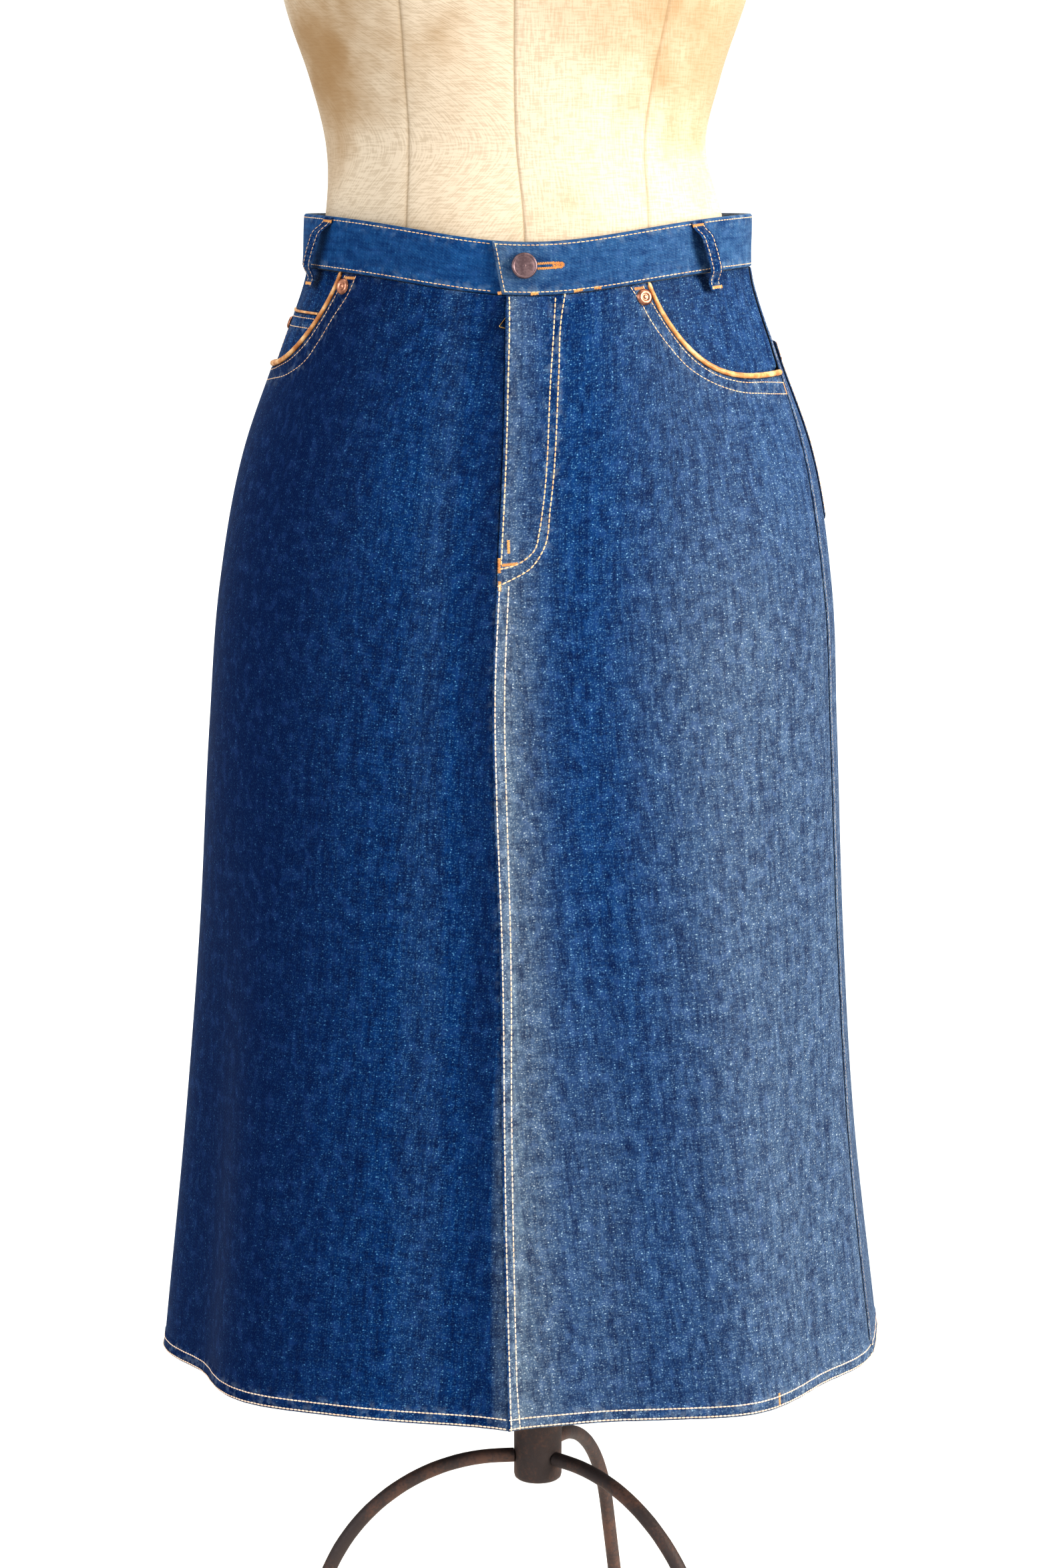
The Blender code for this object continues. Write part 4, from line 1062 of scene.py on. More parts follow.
@dataclass
class ClothSheet:
    """A sewn piece of cloth: a thin shell laid on the skirt's surface."""

    name: str
    across: Array
    down: Array
    place: Layout
    face: Face
    thick: Face
    outside: Finish = Finish.DENIM
    inside: Finish = Finish.INSIDE
    rests_on: tuple[str, ...] = ("form_torso",)
    # the light and shade painted on the piece, which its denim reads
    fade: Face | None = None
    roll: float = 0.45
    fewest_to_turn: int = 6
    pucker_reach: float = 0.0038

    def build(self, near: KDTree | None = None) -> Object:
        """Args:
            near: The points of the stitch rows, near which the cloth puckers.

        Returns:
            The finished piece, which replaces the solid of the same name.
        """
        s, t = np.meshgrid(self.across, self.down, indexing="ij")
        angle, drop = self.place(s, t)
        thick = self.thick(angle, drop)
        turned = self.turned_edge(*angle.shape) * thick * self.roll
        face = self.face(angle, drop)
        outer = SKIRT.out(angle, drop, face - turned)
        inner = SKIRT.out(angle, drop, face - thick + turned)
        columns, rows = angle.shape
        outer_faces = grid_faces(columns, rows)
        inner_faces = outer_faces[:, ::-1] + columns * rows
        faces = np.concatenate([outer_faces, inner_faces, rim_faces(columns, rows)])
        mesh = mesh_from(np.concatenate([outer.reshape(-1, 3), inner.reshape(-1, 3)]), faces, 60.0)
        kinds = np.zeros(len(faces), np.int32)
        kinds[len(outer_faces):2 * len(outer_faces)] = 1
        made = new_object(self.name, mesh, [self.outside, self.inside])
        mesh.polygons.foreach_set("material_index", kinds)
        width, length = self.map_cloth(mesh, outer, drop)
        # the painted light and shade go on the mesh with the edge and pucker numbers
        painted_light_amount = self.fade(angle, drop) if self.fade else np.zeros_like(drop)
        masks = {"edge": self.edge_mask(outer), "pucker": self.pucker(outer, near), "fade": painted_light_amount}
        for mask, values in masks.items():
            store(mesh, mask, np.tile(values.ravel(), 2))
        hang(made, "denim", self.name)
        area = self.flat_area(outer)
        LOG.info("  cut %.3f x %.3f m, %.4f square metres", width, length, area)
        flat = (round(width, 4), round(length, 4))
        area = round(min(area, 0.999 * flat[0] * flat[1]), 6)
        return made

    def turned_edge(self, columns: int, rows: int) -> Array:
        """1 along the sheet's edges, where the cloth turns over, and 0 inside."""
        found = np.zeros((columns, rows))
        for grid in (found, found.T):
            for k, amount in ((0, 1.0), (1, 0.3)):
                if len(grid) > self.fewest_to_turn:
                    grid[[k, -1 - k]] = np.maximum(grid[[k, -1 - k]], amount)
        return found

    def edge_mask(self, outer: Array) -> Array:
        """1 at the sheet's outline and 0 a millimetre in."""
        found = np.zeros(outer.shape[:2])
        found[0, :] = found[-1, :] = 1.0
        found[:, 0] = found[:, -1] = 1.0
        return found

    def pucker(self, outer: Array, near: KDTree | None) -> Array:
        """How much the cloth puckers at each point, from its distance to the stitches."""
        if near is None:
            return np.zeros(outer.shape[:2])
        flat = outer.reshape(-1, 3)
        off = np.array([near.find(point)[2] for point in flat])
        return np.exp(-((off / self.pucker_reach) ** 2)).reshape(outer.shape[:2])

    def map_cloth(self, mesh: Mesh, outer: Array, drop: Array) -> tuple[float, float]:
        """Lays the cloth's own map on the mesh: metres across the grain and down it.

        Returns:
            The widest and the longest size of the flat piece.
        """
        steps = np.linalg.norm(np.diff(outer, axis=0), axis=-1)
        run = np.concatenate([np.zeros((1, outer.shape[1])), np.cumsum(steps, 0)])
        middle = run - run[len(run) // 2][None]
        falls = np.linalg.norm(np.diff(outer, axis=1), axis=-1)
        fall = np.concatenate([np.zeros((outer.shape[0], 1)), np.cumsum(falls, 1)], 1)
        store_map(mesh, np.tile(np.stack([middle, drop], -1).reshape(-1, 2), (2, 1)))
        return float(run[-1].max()), float(fall[:, -1].max())

    def flat_area(self, outer: Array) -> float:
        """The area of the flat piece, from the strips between its rows."""
        wide = np.linalg.norm(np.diff(outer, axis=0), axis=-1)
        tall = np.linalg.norm(np.diff(outer, axis=1), axis=-1)
        return float((0.25 * (wide[:, 1:] + wide[:, :-1]) * (tall[1:] + tall[:-1])).sum())


def crowded(count: int, edge: float, extra: Iterable[float] = ()) -> Array:
    """Fractions from 0 to 1, even but for two close ones at each end, and any extra ones."""
    even = np.linspace(0.0, 1.0, count + 1)
    inside = even[(even > 2.6 * edge) & (even < 1 - 2.6 * edge)]
    ends = [0.0, edge, 2.2 * edge, 1 - 2.2 * edge, 1 - edge, 1.0]
    found = np.unique(np.concatenate([inside, ends, list(extra)]))
    keep = np.concatenate([[True], np.diff(found) > edge * 0.5])
    keep[-1] = True
    return found[keep]


@dataclass
class Skirt:
    """The sewn skirt: its panels, waistband, pockets, loops, fly and stitching."""

    band: float = 0.036
    wall: float = 0.0016
    gap: float = 0.0003
    seam_turn: float = 0.05
    # how many degrees a panel runs on under its neighbour, how deep it lies there, and from which drop
    tuck_turn: float = 0.75
    tuck_depth: float = 0.0005
    tucks: dict[str, float] = field(default_factory=lambda: {
        "centre_front": 0.226, "side_left": 0.12, "side_right": 0.115, "centre_back": 0.045,
    })
    band_face: float = 0.0012
    band_thick: float = 0.0024
    lap_angle: float = -12.5
    lap_slant: float = 4.0
    underlap_angle: float = 375.0
    underlap_sink: float = 0.0028
    hem: float = 0.0118
    hem_turn: float = 0.0013
    hem_step: float = 0.0005
    opening_power: float = 4.3
    facing_face: float = -0.004
    facing_rise: float = 0.0036
    facing_foot: float = 0.14
    coin_top: float = 0.066
    coin_foot: float = 0.128
    coin_angles: tuple[float, float] = (-93.5, -68.0)
    coin_face: float = -0.0024
    pocket_top: float = 0.088
    pocket_side: float = 0.21
    pocket_point: float = 0.235
    pocket_face: float = 0.0018
    fly_spread: float = 16.0
    fly_end: float = 0.222
    zip_offset: float = 0.0041
    # side, angle where the opening starts, drop where it ends
    openings: dict[str, tuple[float, float]] = field(
        default_factory=lambda: {"left": (39.5, 0.109), "right": (-61.8, 0.104)}
    )
    back_pockets: dict[str, tuple[float, float]] = field(
        default_factory=lambda: {"left": (90.0, 144.0), "right": (203.0, 255.5)}
    )
    loops: dict[str, tuple[float, float]] = field(default_factory=lambda: {
        "loop_front_left": (56.3, 62.5), "loop_front_right": (-67.9, -75.6),
        "loop_back_left": (130.0, 130.0), "loop_back_right": (-143.0, -143.0),
        "loop_back_centre": (173.5, 173.5),
    })
    fly_lift: Table = (
        (0.036, 0.0014), (0.043, 0.0058), (0.05, 0.0065), (0.064, 0.0062), (0.085, 0.003),
        (0.13, 0.002), (0.19, 0.0014), (0.222, 0),
    )
    loop_arch: Table = (
        (0.0005, 0.0017), (0.005, 0.002), (0.01, 0.0072), (0.018, 0.0088), (0.028, 0.0088),
        (0.036, 0.0072), (0.043, 0.0012), (0.049, 0.0006),
    )
    loop_width: float = 0.011
    loop_thick: float = 0.0013
    facing_thick: float = 0.0014
    coin_thick: float = 0.0012
    back_pocket_thick: float = 0.0015
    seam_rise: float = 0.0009
    # heights above the hem's edge of a panel's last rows
    foot_rows: tuple[float, ...] = (
        0.015, 0.0132, 0.0122, 0.0118, 0.0115, 0.0112, 0.0109,
        0.0085, 0.0055, 0.003, 0.0016, 0.0007, 0.0,
    )
    # angle, drop: the fly's two rows
    fly_rows: tuple[Table, ...] = (
        (
            (12.7, 0.0368), (11.2, 0.0534), (9.8, 0.0887), (6.2, 0.1772), (4.5, 0.2042), (1.3, 0.217),
            (-3.9, 0.2254), (-6.7, 0.229),
        ),
        (
            (9.5, 0.0395), (9, 0.0531), (7.4, 0.0885), (4.2, 0.177), (3.3, 0.1921), (1.9, 0.2059),
            (-0.8, 0.2125), (-4, 0.2165), (-6.4, 0.218),
        ),
    )
    # drop, how far the centre front's second row lies from the seam
    front_row: Table = (
        (0.231, 0.008), (0.26, 0.0081), (0.39, 0.0084), (0.57, 0.0067), (0.77, 0.0065), (0.802, 0.0078),
    )
    # height above the hem's edge, how deep the thread lies
    hem_rows: Table = ((0.0017, -0.0003), (0.008, 0.0))
    # angle, drop: the rows round each pocket's opening, two on the left and then two on the right
    pocket_rows: tuple[Table, ...] = (
        (
            (34.7, 0.0385), (37.4, 0.0495), (39.2, 0.0598), (43.5, 0.0795), (48.1, 0.0957),
            (53.2, 0.1063), (60.4, 0.1152), (70, 0.1195), (80.6, 0.1222),
        ),
        (
            (38.6, 0.039), (41.2, 0.053), (44, 0.0675), (50, 0.0912), (55.7, 0.103), (61.5, 0.109),
            (71, 0.112), (80.9, 0.1145),
        ),
        (
            (-57, 0.0385), (-58.5, 0.0501), (-61.5, 0.0652), (-64.2, 0.0824), (-67, 0.0961),
            (-72.4, 0.1066), (-81, 0.1118), (-94.5, 0.115),
        ),
        (
            (-60.9, 0.039), (-63.2, 0.0545), (-66.3, 0.0735), (-68.7, 0.085), (-72.9, 0.096),
            (-80, 0.1038), (-94.9, 0.1075),
        ),
    )
    # face, first angle and drop, last angle and drop
    tack_rows: tuple[tuple[str, float, float, float, float], ...] = (
        ("left", -6.9, 0.211, -6.8, 0.2205), ("left", -4.9, 0.199, -4.7, 0.2075),
        ("left", -6.7, 0.2265, -6.6, 0.2325), ("left", -6.2, 0.2155, -2.4, 0.2145),
        ("right", -60.6, 0.0395, -57.2, 0.039), ("left", 38.4, 0.0392, 35.6, 0.039),
        ("left", 80.9, 0.115, 80.5, 0.1222), ("right", -94.8, 0.1085, -94.6, 0.1155),
        ("back", 83.2, 0.096, 83.6, 0.096), ("left", 46.7, 0.792, 46.6, 0.8),
    )
    stitching: list[Stitching] = field(default_factory=list)

    # -- the faces that stitches and sheets lie on

    def hem_share(self, drop: Array) -> Array:
        """0 above the turned hem and 1 on it."""
        return ease((drop - (SKIRT.length - self.hem)) / 0.0009)

    def plain_face(self, angle: Array, drop: Array) -> Array:
        """A panel's outer face: raised over the hem, which ropes a little."""
        hem = self.hem_share(drop)
        roping = 0.00012 * np.sin(90 * np.radians(angle) + 220.0 * (drop - SKIRT.length))
        return hem * (self.hem_step + roping)

    def front_left_face(self, angle: Array, drop: Array) -> Array:
        """The left front's face, which laps over the right one down the fly and the seam."""
        off = angle - SKIRT.seam("centre_front", drop)
        fly = np.where(drop > self.fly_end, 0.0, along(self.fly_lift, 1, drop))
        fly = fly * (1 - ease(off / self.fly_spread))
        lap = 0.001 * ease((drop - 0.17) / 0.06) * (1 - ease(off / 4.5))
        return self.plain_face(angle, drop) + fly + lap - self.sunk("side_left", 1, angle, drop)

    def front_right_face(self, angle: Array, drop: Array) -> Array:
        """The right front's face, which lies under its neighbours at both of its seams."""
        found = self.plain_face(angle, drop) - self.sunk("centre_front", 1, angle, drop)
        return found - self.sunk("side_right", -1, angle, drop)

    def back_left_face(self, angle: Array, drop: Array) -> Array:
        """The left back's face, which lies under the right one at the centre back."""
        return self.back_face(angle, drop) - self.sunk("centre_back", 1, angle, drop)

    def back_face(self, angle: Array, drop: Array) -> Array:
        """A back panel's face, which rides up beside the side seams and the centre back."""
        found = self.plain_face(angle, drop)
        for seam, way in (("side_left", 1), ("side_right", -1), ("centre_back", 1)):
            off = turn_between(angle, SKIRT.seam(seam, drop)) * way
            found = found + np.where(off > -0.5, self.seam_rise * (1 - ease(off / 2.6)), 0.0)
        return found

    def band_out(self, angle: Array, drop: Array) -> Array:
        """The waistband's outer face, a little full between its rows, sinking under the lap."""
        full = 0.00045 * np.sin(np.pi * np.clip(drop / self.band, 0, 1))
        return self.band_face + full - self.underlap_sink * ease((angle - 333.0) / 12.0)

    def sewn_rise(self, angle: Array, drop: Array) -> Array:
        """How far a facing rises towards the side seam that it is sewn into, above the opening's end."""
        found = np.zeros(np.broadcast(angle, drop).shape)
        for side, way in (("left", 1), ("right", -1)):
            off = turn_between(SKIRT.seam(f"side_{side}", drop), angle) * way
            end = self.openings[side][1]
            near = (1 - ease(off / 5.0)) * (1 - ease((drop - end + 0.0065) / 0.004))
            found = np.maximum(found, np.where(np.abs(off) < 20, near, 0.0))
        return self.facing_rise * found

    def facing_out(self, angle: Array, drop: Array) -> Array:
        """The pocket facing's face."""
        return self.facing_face + self.sewn_rise(angle, drop)

    def coin_out(self, angle: Array, drop: Array) -> Array:
        """The coin pocket's face."""
        return self.coin_face + self.sewn_rise(angle, drop)

    def back_pocket_out(self, angle: Array, drop: Array) -> Array:
        """A back pocket's face, a little raised at its top hem."""
        return self.pocket_face + 0.0004 * (1 - ease((drop - self.pocket_top - 0.012) / 0.001))

    def loop_out(self, angle: Array, drop: Array) -> Array:
        """A belt loop's outer face."""
        return along(self.loop_arch, 1, drop) + self.loop_thick

    def flat(self, thick: float) -> Face:
        """A thickness that is the same all over."""
        return lambda angle, drop: thick + 0 * angle

    def panel_thick(self, angle: Array, drop: Array) -> Array:
        """A panel's thickness, which grows where the hem is turned up inside."""
        return self.wall + self.hem_turn * self.hem_share(drop)

    # -- places

    def opening_drop(self, side: str, angle: Array) -> Array:
        """How far down a front starts at an angle: the band's edge, or the pocket's curve."""
        start, end = self.openings[side]
        seam = float(SKIRT.seam(f"side_{side}", end))
        share = np.clip(1 - (angle - start) / (seam - start), 0.0, None)
        curve = self.band + (end - self.band) * (1 - share**self.opening_power)
        return np.where(share >= 1, self.band, curve)

    def edges(self, start: str, end: str, drop: Array) -> tuple[Array, Array]:
        """The angles of a panel's two edges at each drop."""
        first, last = SKIRT.seam(start, drop), SKIRT.seam(end, drop)
        last = last + 360.0 * (last < first)
        if start == "side_right":
            first = first - self.tuck(start, drop)
        if end != "side_right":
            last = last + self.tuck(end, drop)
        return first + self.seam_turn, last - self.seam_turn

    def tuck(self, seam: str, drop: Array) -> Array:
        """How many degrees the lower panel of a seam runs on past it."""
        return self.tuck_turn * ease((drop - self.tucks[seam]) / 0.012)

    def sunk(self, seam: str, way: int, angle: Array, drop: Array) -> Array:
        """How deep the lower panel of a seam lies beside it.

        Args:
            seam: The seam's name.
            way: 1 for a panel that ends at the seam, and -1 for one that starts there.
            angle: The angle of each point.
            drop: The drop of each point.

        Returns:
            The depth below the panel's own face.
        """
        past = turn_between(angle, SKIRT.seam(seam, drop)) * way
        share = self.tuck(seam, drop) / self.tuck_turn
        return self.tuck_depth * share * ease((past + 1.0) / 0.8)

    def panel_place(
        self, start: str, end: str, top: Callable[[Array], Array]
    ) -> Layout:
        """Where a panel's points lie: from its top edge, across between two seams, to the hem."""

        def place(s: Array, t: Array) -> tuple[Array, Array]:
            """The angle and drop of each point of the panel's grid."""
            begin = np.full_like(s, self.band)
            for _ in range(8):
                first, last = self.edges(start, end, begin)
                begin = top(first + (last - first) * s)
            shift = (begin + self.gap - self.band) * (1 - ease((t - self.band) / 0.27))
            drop = np.minimum(t + shift, SKIRT.length)
            first, last = self.edges(start, end, drop)
            return first + (last - first) * s, drop

        return place

    def panel_top(self, side: str | None) -> Callable[[Array], Array]:
        """The drop of a panel's top edge at each angle."""
        if side is None:
            return lambda angle: np.full_like(angle, self.band)
        return lambda angle: self.opening_drop(side, angle)

    def panel_rows(self) -> Array:
        """Drops of a panel's rows, closer at the top edge and on the hem."""
        top = self.band + np.array([0.0, 0.0007, 0.0016, 0.0032])
        body = np.arange(self.band + 0.006, SKIRT.length - 0.016, 0.0046)
        return np.concatenate([top, body, SKIRT.length - np.array(self.foot_rows)])

    def panel_columns(self, side: str | None = None) -> Array:
        """Fractions of a panel's columns, closer at its edges and where the opening turns."""
        extra: list[float] = []
        if side:
            first, last = self.edges(
                *(("centre_front", "side_left") if side == "left" else ("side_right", "centre_front")),
                np.array([self.band]),
            )
            start = float((self.openings[side][0] - first[0]) / (last[0] - first[0]))
            end = 1.0 if side == "left" else 0.0
            extra = [start + (end - start) * (k / 44) ** 1.9 for k in range(45)]
        return crowded(96, 0.0022, extra)

    # -- sheets

    def panels(self) -> list[ClothSheet]:
        """The four panels."""
        rows = self.panel_rows()
        made = []
        for name, start, end, side, face in (
            ("front_left", "centre_front", "side_left", "left", self.front_left_face),
            ("front_right", "side_right", "centre_front", "right", self.front_right_face),
            ("back_left", "side_left", "centre_back", None, self.back_left_face),
            ("back_right", "centre_back", "side_right", None, self.back_face),
        ):
            place = self.panel_place(start, end, self.panel_top(side))
            made.append(ClothSheet(
                name, self.panel_columns(side), rows, place, face, self.panel_thick, fade=SKIRT.fade,
            ))
        return made

    def band_painted_lighting(self, angle: Array, drop: Array) -> Array:
        """The light painted on the waistband: most at the lap and round its left side, with painted shade
        towards the underlap.
        """
        shades = (
            (-13, 0.9), (8, 0.35), (30, 0.25), (60, 0.35), (100, 0.5), (150, 0), (270, 0), (318, -0.25),
            (375, -0.25),
        )
        return along(shades, 1, angle)

    def waistband(self) -> ClothSheet:
        """The waistband, one strip whose left end laps over the right one."""

        def place(s: Array, t: Array) -> tuple[Array, Array]:
            """Along the band, with the lap's end cut aslant."""
            angle = self.lap_angle + (self.underlap_angle - self.lap_angle) * s
            slant = self.lap_slant * t / self.band * np.clip(1 - s / 0.03, 0, 1)
            return angle + slant, t

        down = self.band * crowded(14, 0.018)
        return ClothSheet(
            "waistband", crowded(420, 0.0006), down, place, self.band_out,
            self.flat(self.band_thick), Finish.BAND_DENIM, fade=self.band_painted_lighting,
        )

    def patch(
        self, name: str, edges: tuple[float, float], drops: tuple[float, float], face: Face,
        thick: float, foot: Callable[[Array], Array] | None = None, outside: Finish = Finish.DENIM,
        seam: str = "", rests_on: tuple[str, ...] = ("form_torso",), count: tuple[int, int] = (48, 48),
        fade: float = 0.0,
    ) -> ClothSheet:
        """A piece between two angles and two drops.

        Args:
            name: The piece's name.
            edges: Its first and last angle. With seam, the last one nearest it follows the seam.
            drops: Its top and its foot.
            face: Its outer face.
            thick: Its thickness.
            foot: The foot's drop at each angle, where it isn't level.
            outside: Its outer finish.
            seam: A side seam that one edge follows.
            rests_on: What it lies on; not used.
            count: How many columns and rows it has.
            fade: How much light is painted on it.

        Returns:
            The sheet.
        """

        def place(s: Array, t: Array) -> tuple[Array, Array]:
            """The angle and drop of each point of the patch."""
            top, low = drops
            drop = top + (low - top) * t
            first, last = np.full_like(drop, edges[0]), np.full_like(drop, edges[1])
            if seam == "side_left":
                last = SKIRT.seam(seam, drop) - self.seam_turn
            elif seam == "side_right":
                first = SKIRT.seam(seam, drop) + self.seam_turn
            angle = first + (last - first) * s
            if foot is not None:
                drop = top + (foot(angle) - top) * t
            return angle, drop

        return ClothSheet(
            name, crowded(count[0], 0.012), crowded(count[1], 0.01), place, face,
            self.flat(thick), outside, rests_on=rests_on, fade=lambda angle, drop: fade + 0 * drop,
        )

    def pocket_sheets(self) -> list[ClothSheet]:
        """The facings, the coin pocket and the two back pockets."""
        top = (self.band + self.gap, self.facing_foot)
        made = [
            # the left facing gets a little painted light
            self.patch(
                "pocket_facing_left", (34.5, 0.0), top, self.facing_out, self.facing_thick,
                seam="side_left", fade=0.2,
            ),
            self.patch(
                "pocket_facing_right", (0.0, -56.8), top, self.facing_out, self.facing_thick,
                seam="side_right",
            ),
            self.patch(
                "coin_pocket", self.coin_angles, (self.coin_top + self.gap, self.coin_foot),
                self.coin_out, self.coin_thick, rests_on=("pocket_facing_right",), count=(30, 30),
            ),
        ]
        for side, (first, last) in self.back_pockets.items():
            def foot(angle: Array, a: float = first, b: float = last) -> Array:
                """The pocket's foot, which comes to a point in the middle."""
                point = 1 - np.abs(2 * (angle - a) / (b - a) - 1)
                return self.pocket_side + (self.pocket_point - self.pocket_side) * point

            made.append(self.patch(
                f"back_pocket_{side}", (first, last), (self.pocket_top, self.pocket_side),
                self.back_pocket_out, self.back_pocket_thick, foot, rests_on=(f"back_{side}",),
                count=(60, 60),
            ))
        return made

    def loop_sheets(self) -> list[ClothSheet]:
        """The five belt loops."""
        made = []
        for name, (top_angle, foot_angle) in self.loops.items():
            half = float(SKIRT.degrees(self.loop_width / 2, top_angle, 0.02))

            def place(
                s: Array, t: Array, a: float = top_angle, b: float = foot_angle, h: float = half
            ) -> tuple[Array, Array]:
                """Across and down the loop, which may lean."""
                drop = self.loop_arch[0][0] + (self.loop_arch[-1][0] - self.loop_arch[0][0]) * t
                return a + (b - a) * drop / self.loop_arch[-1][0] + (2 * s - 1) * h, drop

            made.append(ClothSheet(
                name, crowded(12, 0.05), crowded(60, 0.01), place, self.loop_out,
                self.flat(self.loop_thick), rests_on=("waistband",),
            ))
        return made

    def zip_angle(self, drop: Array, across: Array) -> Array:
        """The angle of the zip's middle, or of a place some metres to its left."""
        edge = SKIRT.seam("centre_front", drop)
        step = SKIRT.degrees(1.0, edge + 3.0, drop)
        return edge + step * (self.zip_offset + across)

    def fly_sheets(self) -> list[ClothSheet]:
        """The shield and the tape behind the fly."""

        def strip(left: float, right: float) -> Layout:
            """A strip beside the zip's middle line."""
            return lambda s, t: (self.zip_angle(t, left + (right - left) * s), t)

        drops = np.linspace(self.band + self.gap, self.fly_end - 0.006, 60)
        return [
            ClothSheet(
                "fly_shield", crowded(20, 0.02), drops, strip(-0.016, 0.026),
                lambda a, d: -0.0046 + 0 * a, self.flat(0.0014),
            ),
            ClothSheet(
                "zip_tape", crowded(14, 0.03), drops, strip(-0.011, 0.011),
                lambda a, d: -0.0034 + 0 * a, self.flat(0.0008), Finish.TAPE, Finish.TAPE,
                rests_on=("fly_shield",),
            ),
        ]

    # -- stitching

    def beside(self, seam: str, length: Array, drops: Array) -> Places:
        """Places at a length to the left of a seam; a negative one is to its right."""
        angle = SKIRT.seam(seam, drops)
        return list(zip(angle + SKIRT.degrees(1.0, angle, drops) * length, drops))

    def stitch(self) -> None:
        """Draws every row of stitches."""
        full, left, right = SKIRT.length, self.front_left_face, self.plain_face
        band = Stitching("stitches_waistband", FINE_STITCH, Finish.BEIGE_THREAD)
        round_it = np.arange(-10.8, 347.4, 1.5)
        band.row([(a, 0.0023) for a in round_it], self.band_out)
        band.row([(a, 0.0338) for a in np.arange(-7.0, 347.4, 1.5)], self.band_out)
        band.row([(-11.0, 0.003), (-9.9, 0.012), (-8.6, 0.023), (-7.4, 0.0332)], self.band_out)
        for top_angle, foot_angle in self.loops.values():
            for way in (-1, 1):
                half = float(SKIRT.degrees(0.0034, top_angle, 0.02)) * way
                lean = (foot_angle - top_angle) / self.loop_arch[-1][0]
                down = np.linspace(0.004, 0.047, 22)
                band.row(list(zip(top_angle + lean * down + half, down)), self.loop_out)
        fly = Stitching("stitches_fly", TOPSTITCH, Finish.BEIGE_THREAD)
        fly.row(self.beside("centre_front", 0.0021, np.linspace(0.0385, 0.214, 30)), left)
        for row in self.fly_rows:
            fly.row(row, left)
        front = Stitching("stitches_front", TOPSTITCH, Finish.CREAM_THREAD)
        drops = np.linspace(0.231, full - 0.0022, 60)
        front.row(self.beside("centre_front", 0.0018 + 0 * drops, drops), left)
        off = np.interp(drops, *zip(*self.front_row))
        front.row(self.beside("centre_front", off, drops), left)
        hem = Stitching("stitches_hem", HEM_STITCH, Finish.CREAM_THREAD)
        for up, sunk in self.hem_rows:
            hem.row([(a, full - up) for a in np.arange(-2.0, 358.0, 1.0)], self.hem_face, sunk)
        sides = Stitching("stitches_sides", FINE_STITCH, Finish.PALE_THREAD)
        drops = np.linspace(0.0395, full - 0.0125, 90)
        sides.row(self.beside("side_left", 0.0017, drops), self.back_face)
        sides.row(self.beside("side_right", -0.0017, drops), self.back_face)
        back = Stitching("stitches_back", TOPSTITCH, Finish.BEIGE_THREAD)
        for off in (0.0021, 0.0084):
            back.row(self.beside("centre_back", off, drops), self.back_face)
        self.stitch_back_pockets(back)
        pockets = Stitching("stitches_pockets", FINE_STITCH, Finish.BEIGE_THREAD)
        for row, face in zip(self.pocket_rows, (left, left, right, right)):
            pockets.row(row, face)
        pockets.row([(a, 0.0688) for a in np.linspace(-92.8, -69.3, 12)], self.coin_out)
        pockets.row([(a, 0.0752) for a in np.linspace(-92.8, -69.0, 12)], self.coin_out)
        pockets.row([(-92.6, d) for d in np.linspace(0.07, 0.118, 8)], self.coin_out)
        pockets.row([(-91.0, d) for d in np.linspace(0.078, 0.118, 8)], self.coin_out)
        tacks = Stitching("bartacks", BARTACK, Finish.ORANGE_THREAD)
        self.tack(tacks)
        self.stitching = [band, fly, front, hem, sides, back, pockets, tacks]

    def hem_face(self, angle: Array, drop: Array) -> Array:
        """The face that the hem's rows lie on, all the way round."""
        found = self.back_face(angle, drop)
        front = (turn_between(angle, -2.4) > 0) & (turn_between(angle, -2.4) < 80.4)
        found = np.where(front, self.front_left_face(turn_between(angle, 0.0), drop), found)
        right = (turn_between(angle, -2.4) <= 0) & (turn_between(angle, -2.4) > -87.6)
        return np.where(right, self.plain_face(angle, drop), found)

    def stitch_back_pockets(self, rows: Stitching) -> None:
        """Two rows round each back pocket, and two across its top hem."""
        for first, last in self.back_pockets.values():
            middle = (first + last) / 2
            for inset in (0.0021, 0.0083):
                turn = float(SKIRT.degrees(inset, middle, 0.15))
                low, point = self.pocket_side - inset * 1.1, self.pocket_point - inset * 1.1
                corners = [
                    (first + turn, self.pocket_top + 0.002), (first + turn, low), (middle, point),
                    (last - turn, low), (last - turn, self.pocket_top + 0.002),
                ]
                for a, b in zip(corners, corners[1:]):
                    run = [(a[0] + (b[0] - a[0]) * k / 12, a[1] + (b[1] - a[1]) * k / 12) for k in range(13)]
                    rows.row(run, self.back_pocket_out)
            for down in (0.0022, 0.0118):
                level = [(a, self.pocket_top + down) for a in np.linspace(first + 0.4, last - 0.4, 24)]
                rows.row(level, self.back_pocket_out)

    def tack(self, tacks: Stitching) -> None:
        """The bartacks: at the fly, the pockets' ends, the loops and the hem's seam."""
        faces = {"left": self.front_left_face, "right": self.plain_face, "back": self.back_face}
        for face, angle, drop, last_angle, last_drop in self.tack_rows:
            tacks.row([(angle, drop), (last_angle, last_drop)], faces[face])
        for first, last in self.back_pockets.values():
            for edge, way in ((first, 1), (last, -1)):
                tacks.row([
                    (edge + way * 0.6, self.pocket_top + 0.0012), (edge + way * 0.9, self.pocket_top + 0.01),
                ], self.back_pocket_out)
        for top_angle, foot_angle in self.loops.values():
            half = float(SKIRT.degrees(0.0046, top_angle, 0.02))
            for angle, drop in ((top_angle, 0.0034), (foot_angle, 0.0466)):
                tacks.row([(angle - half, drop), (angle + half, drop)], self.loop_out)

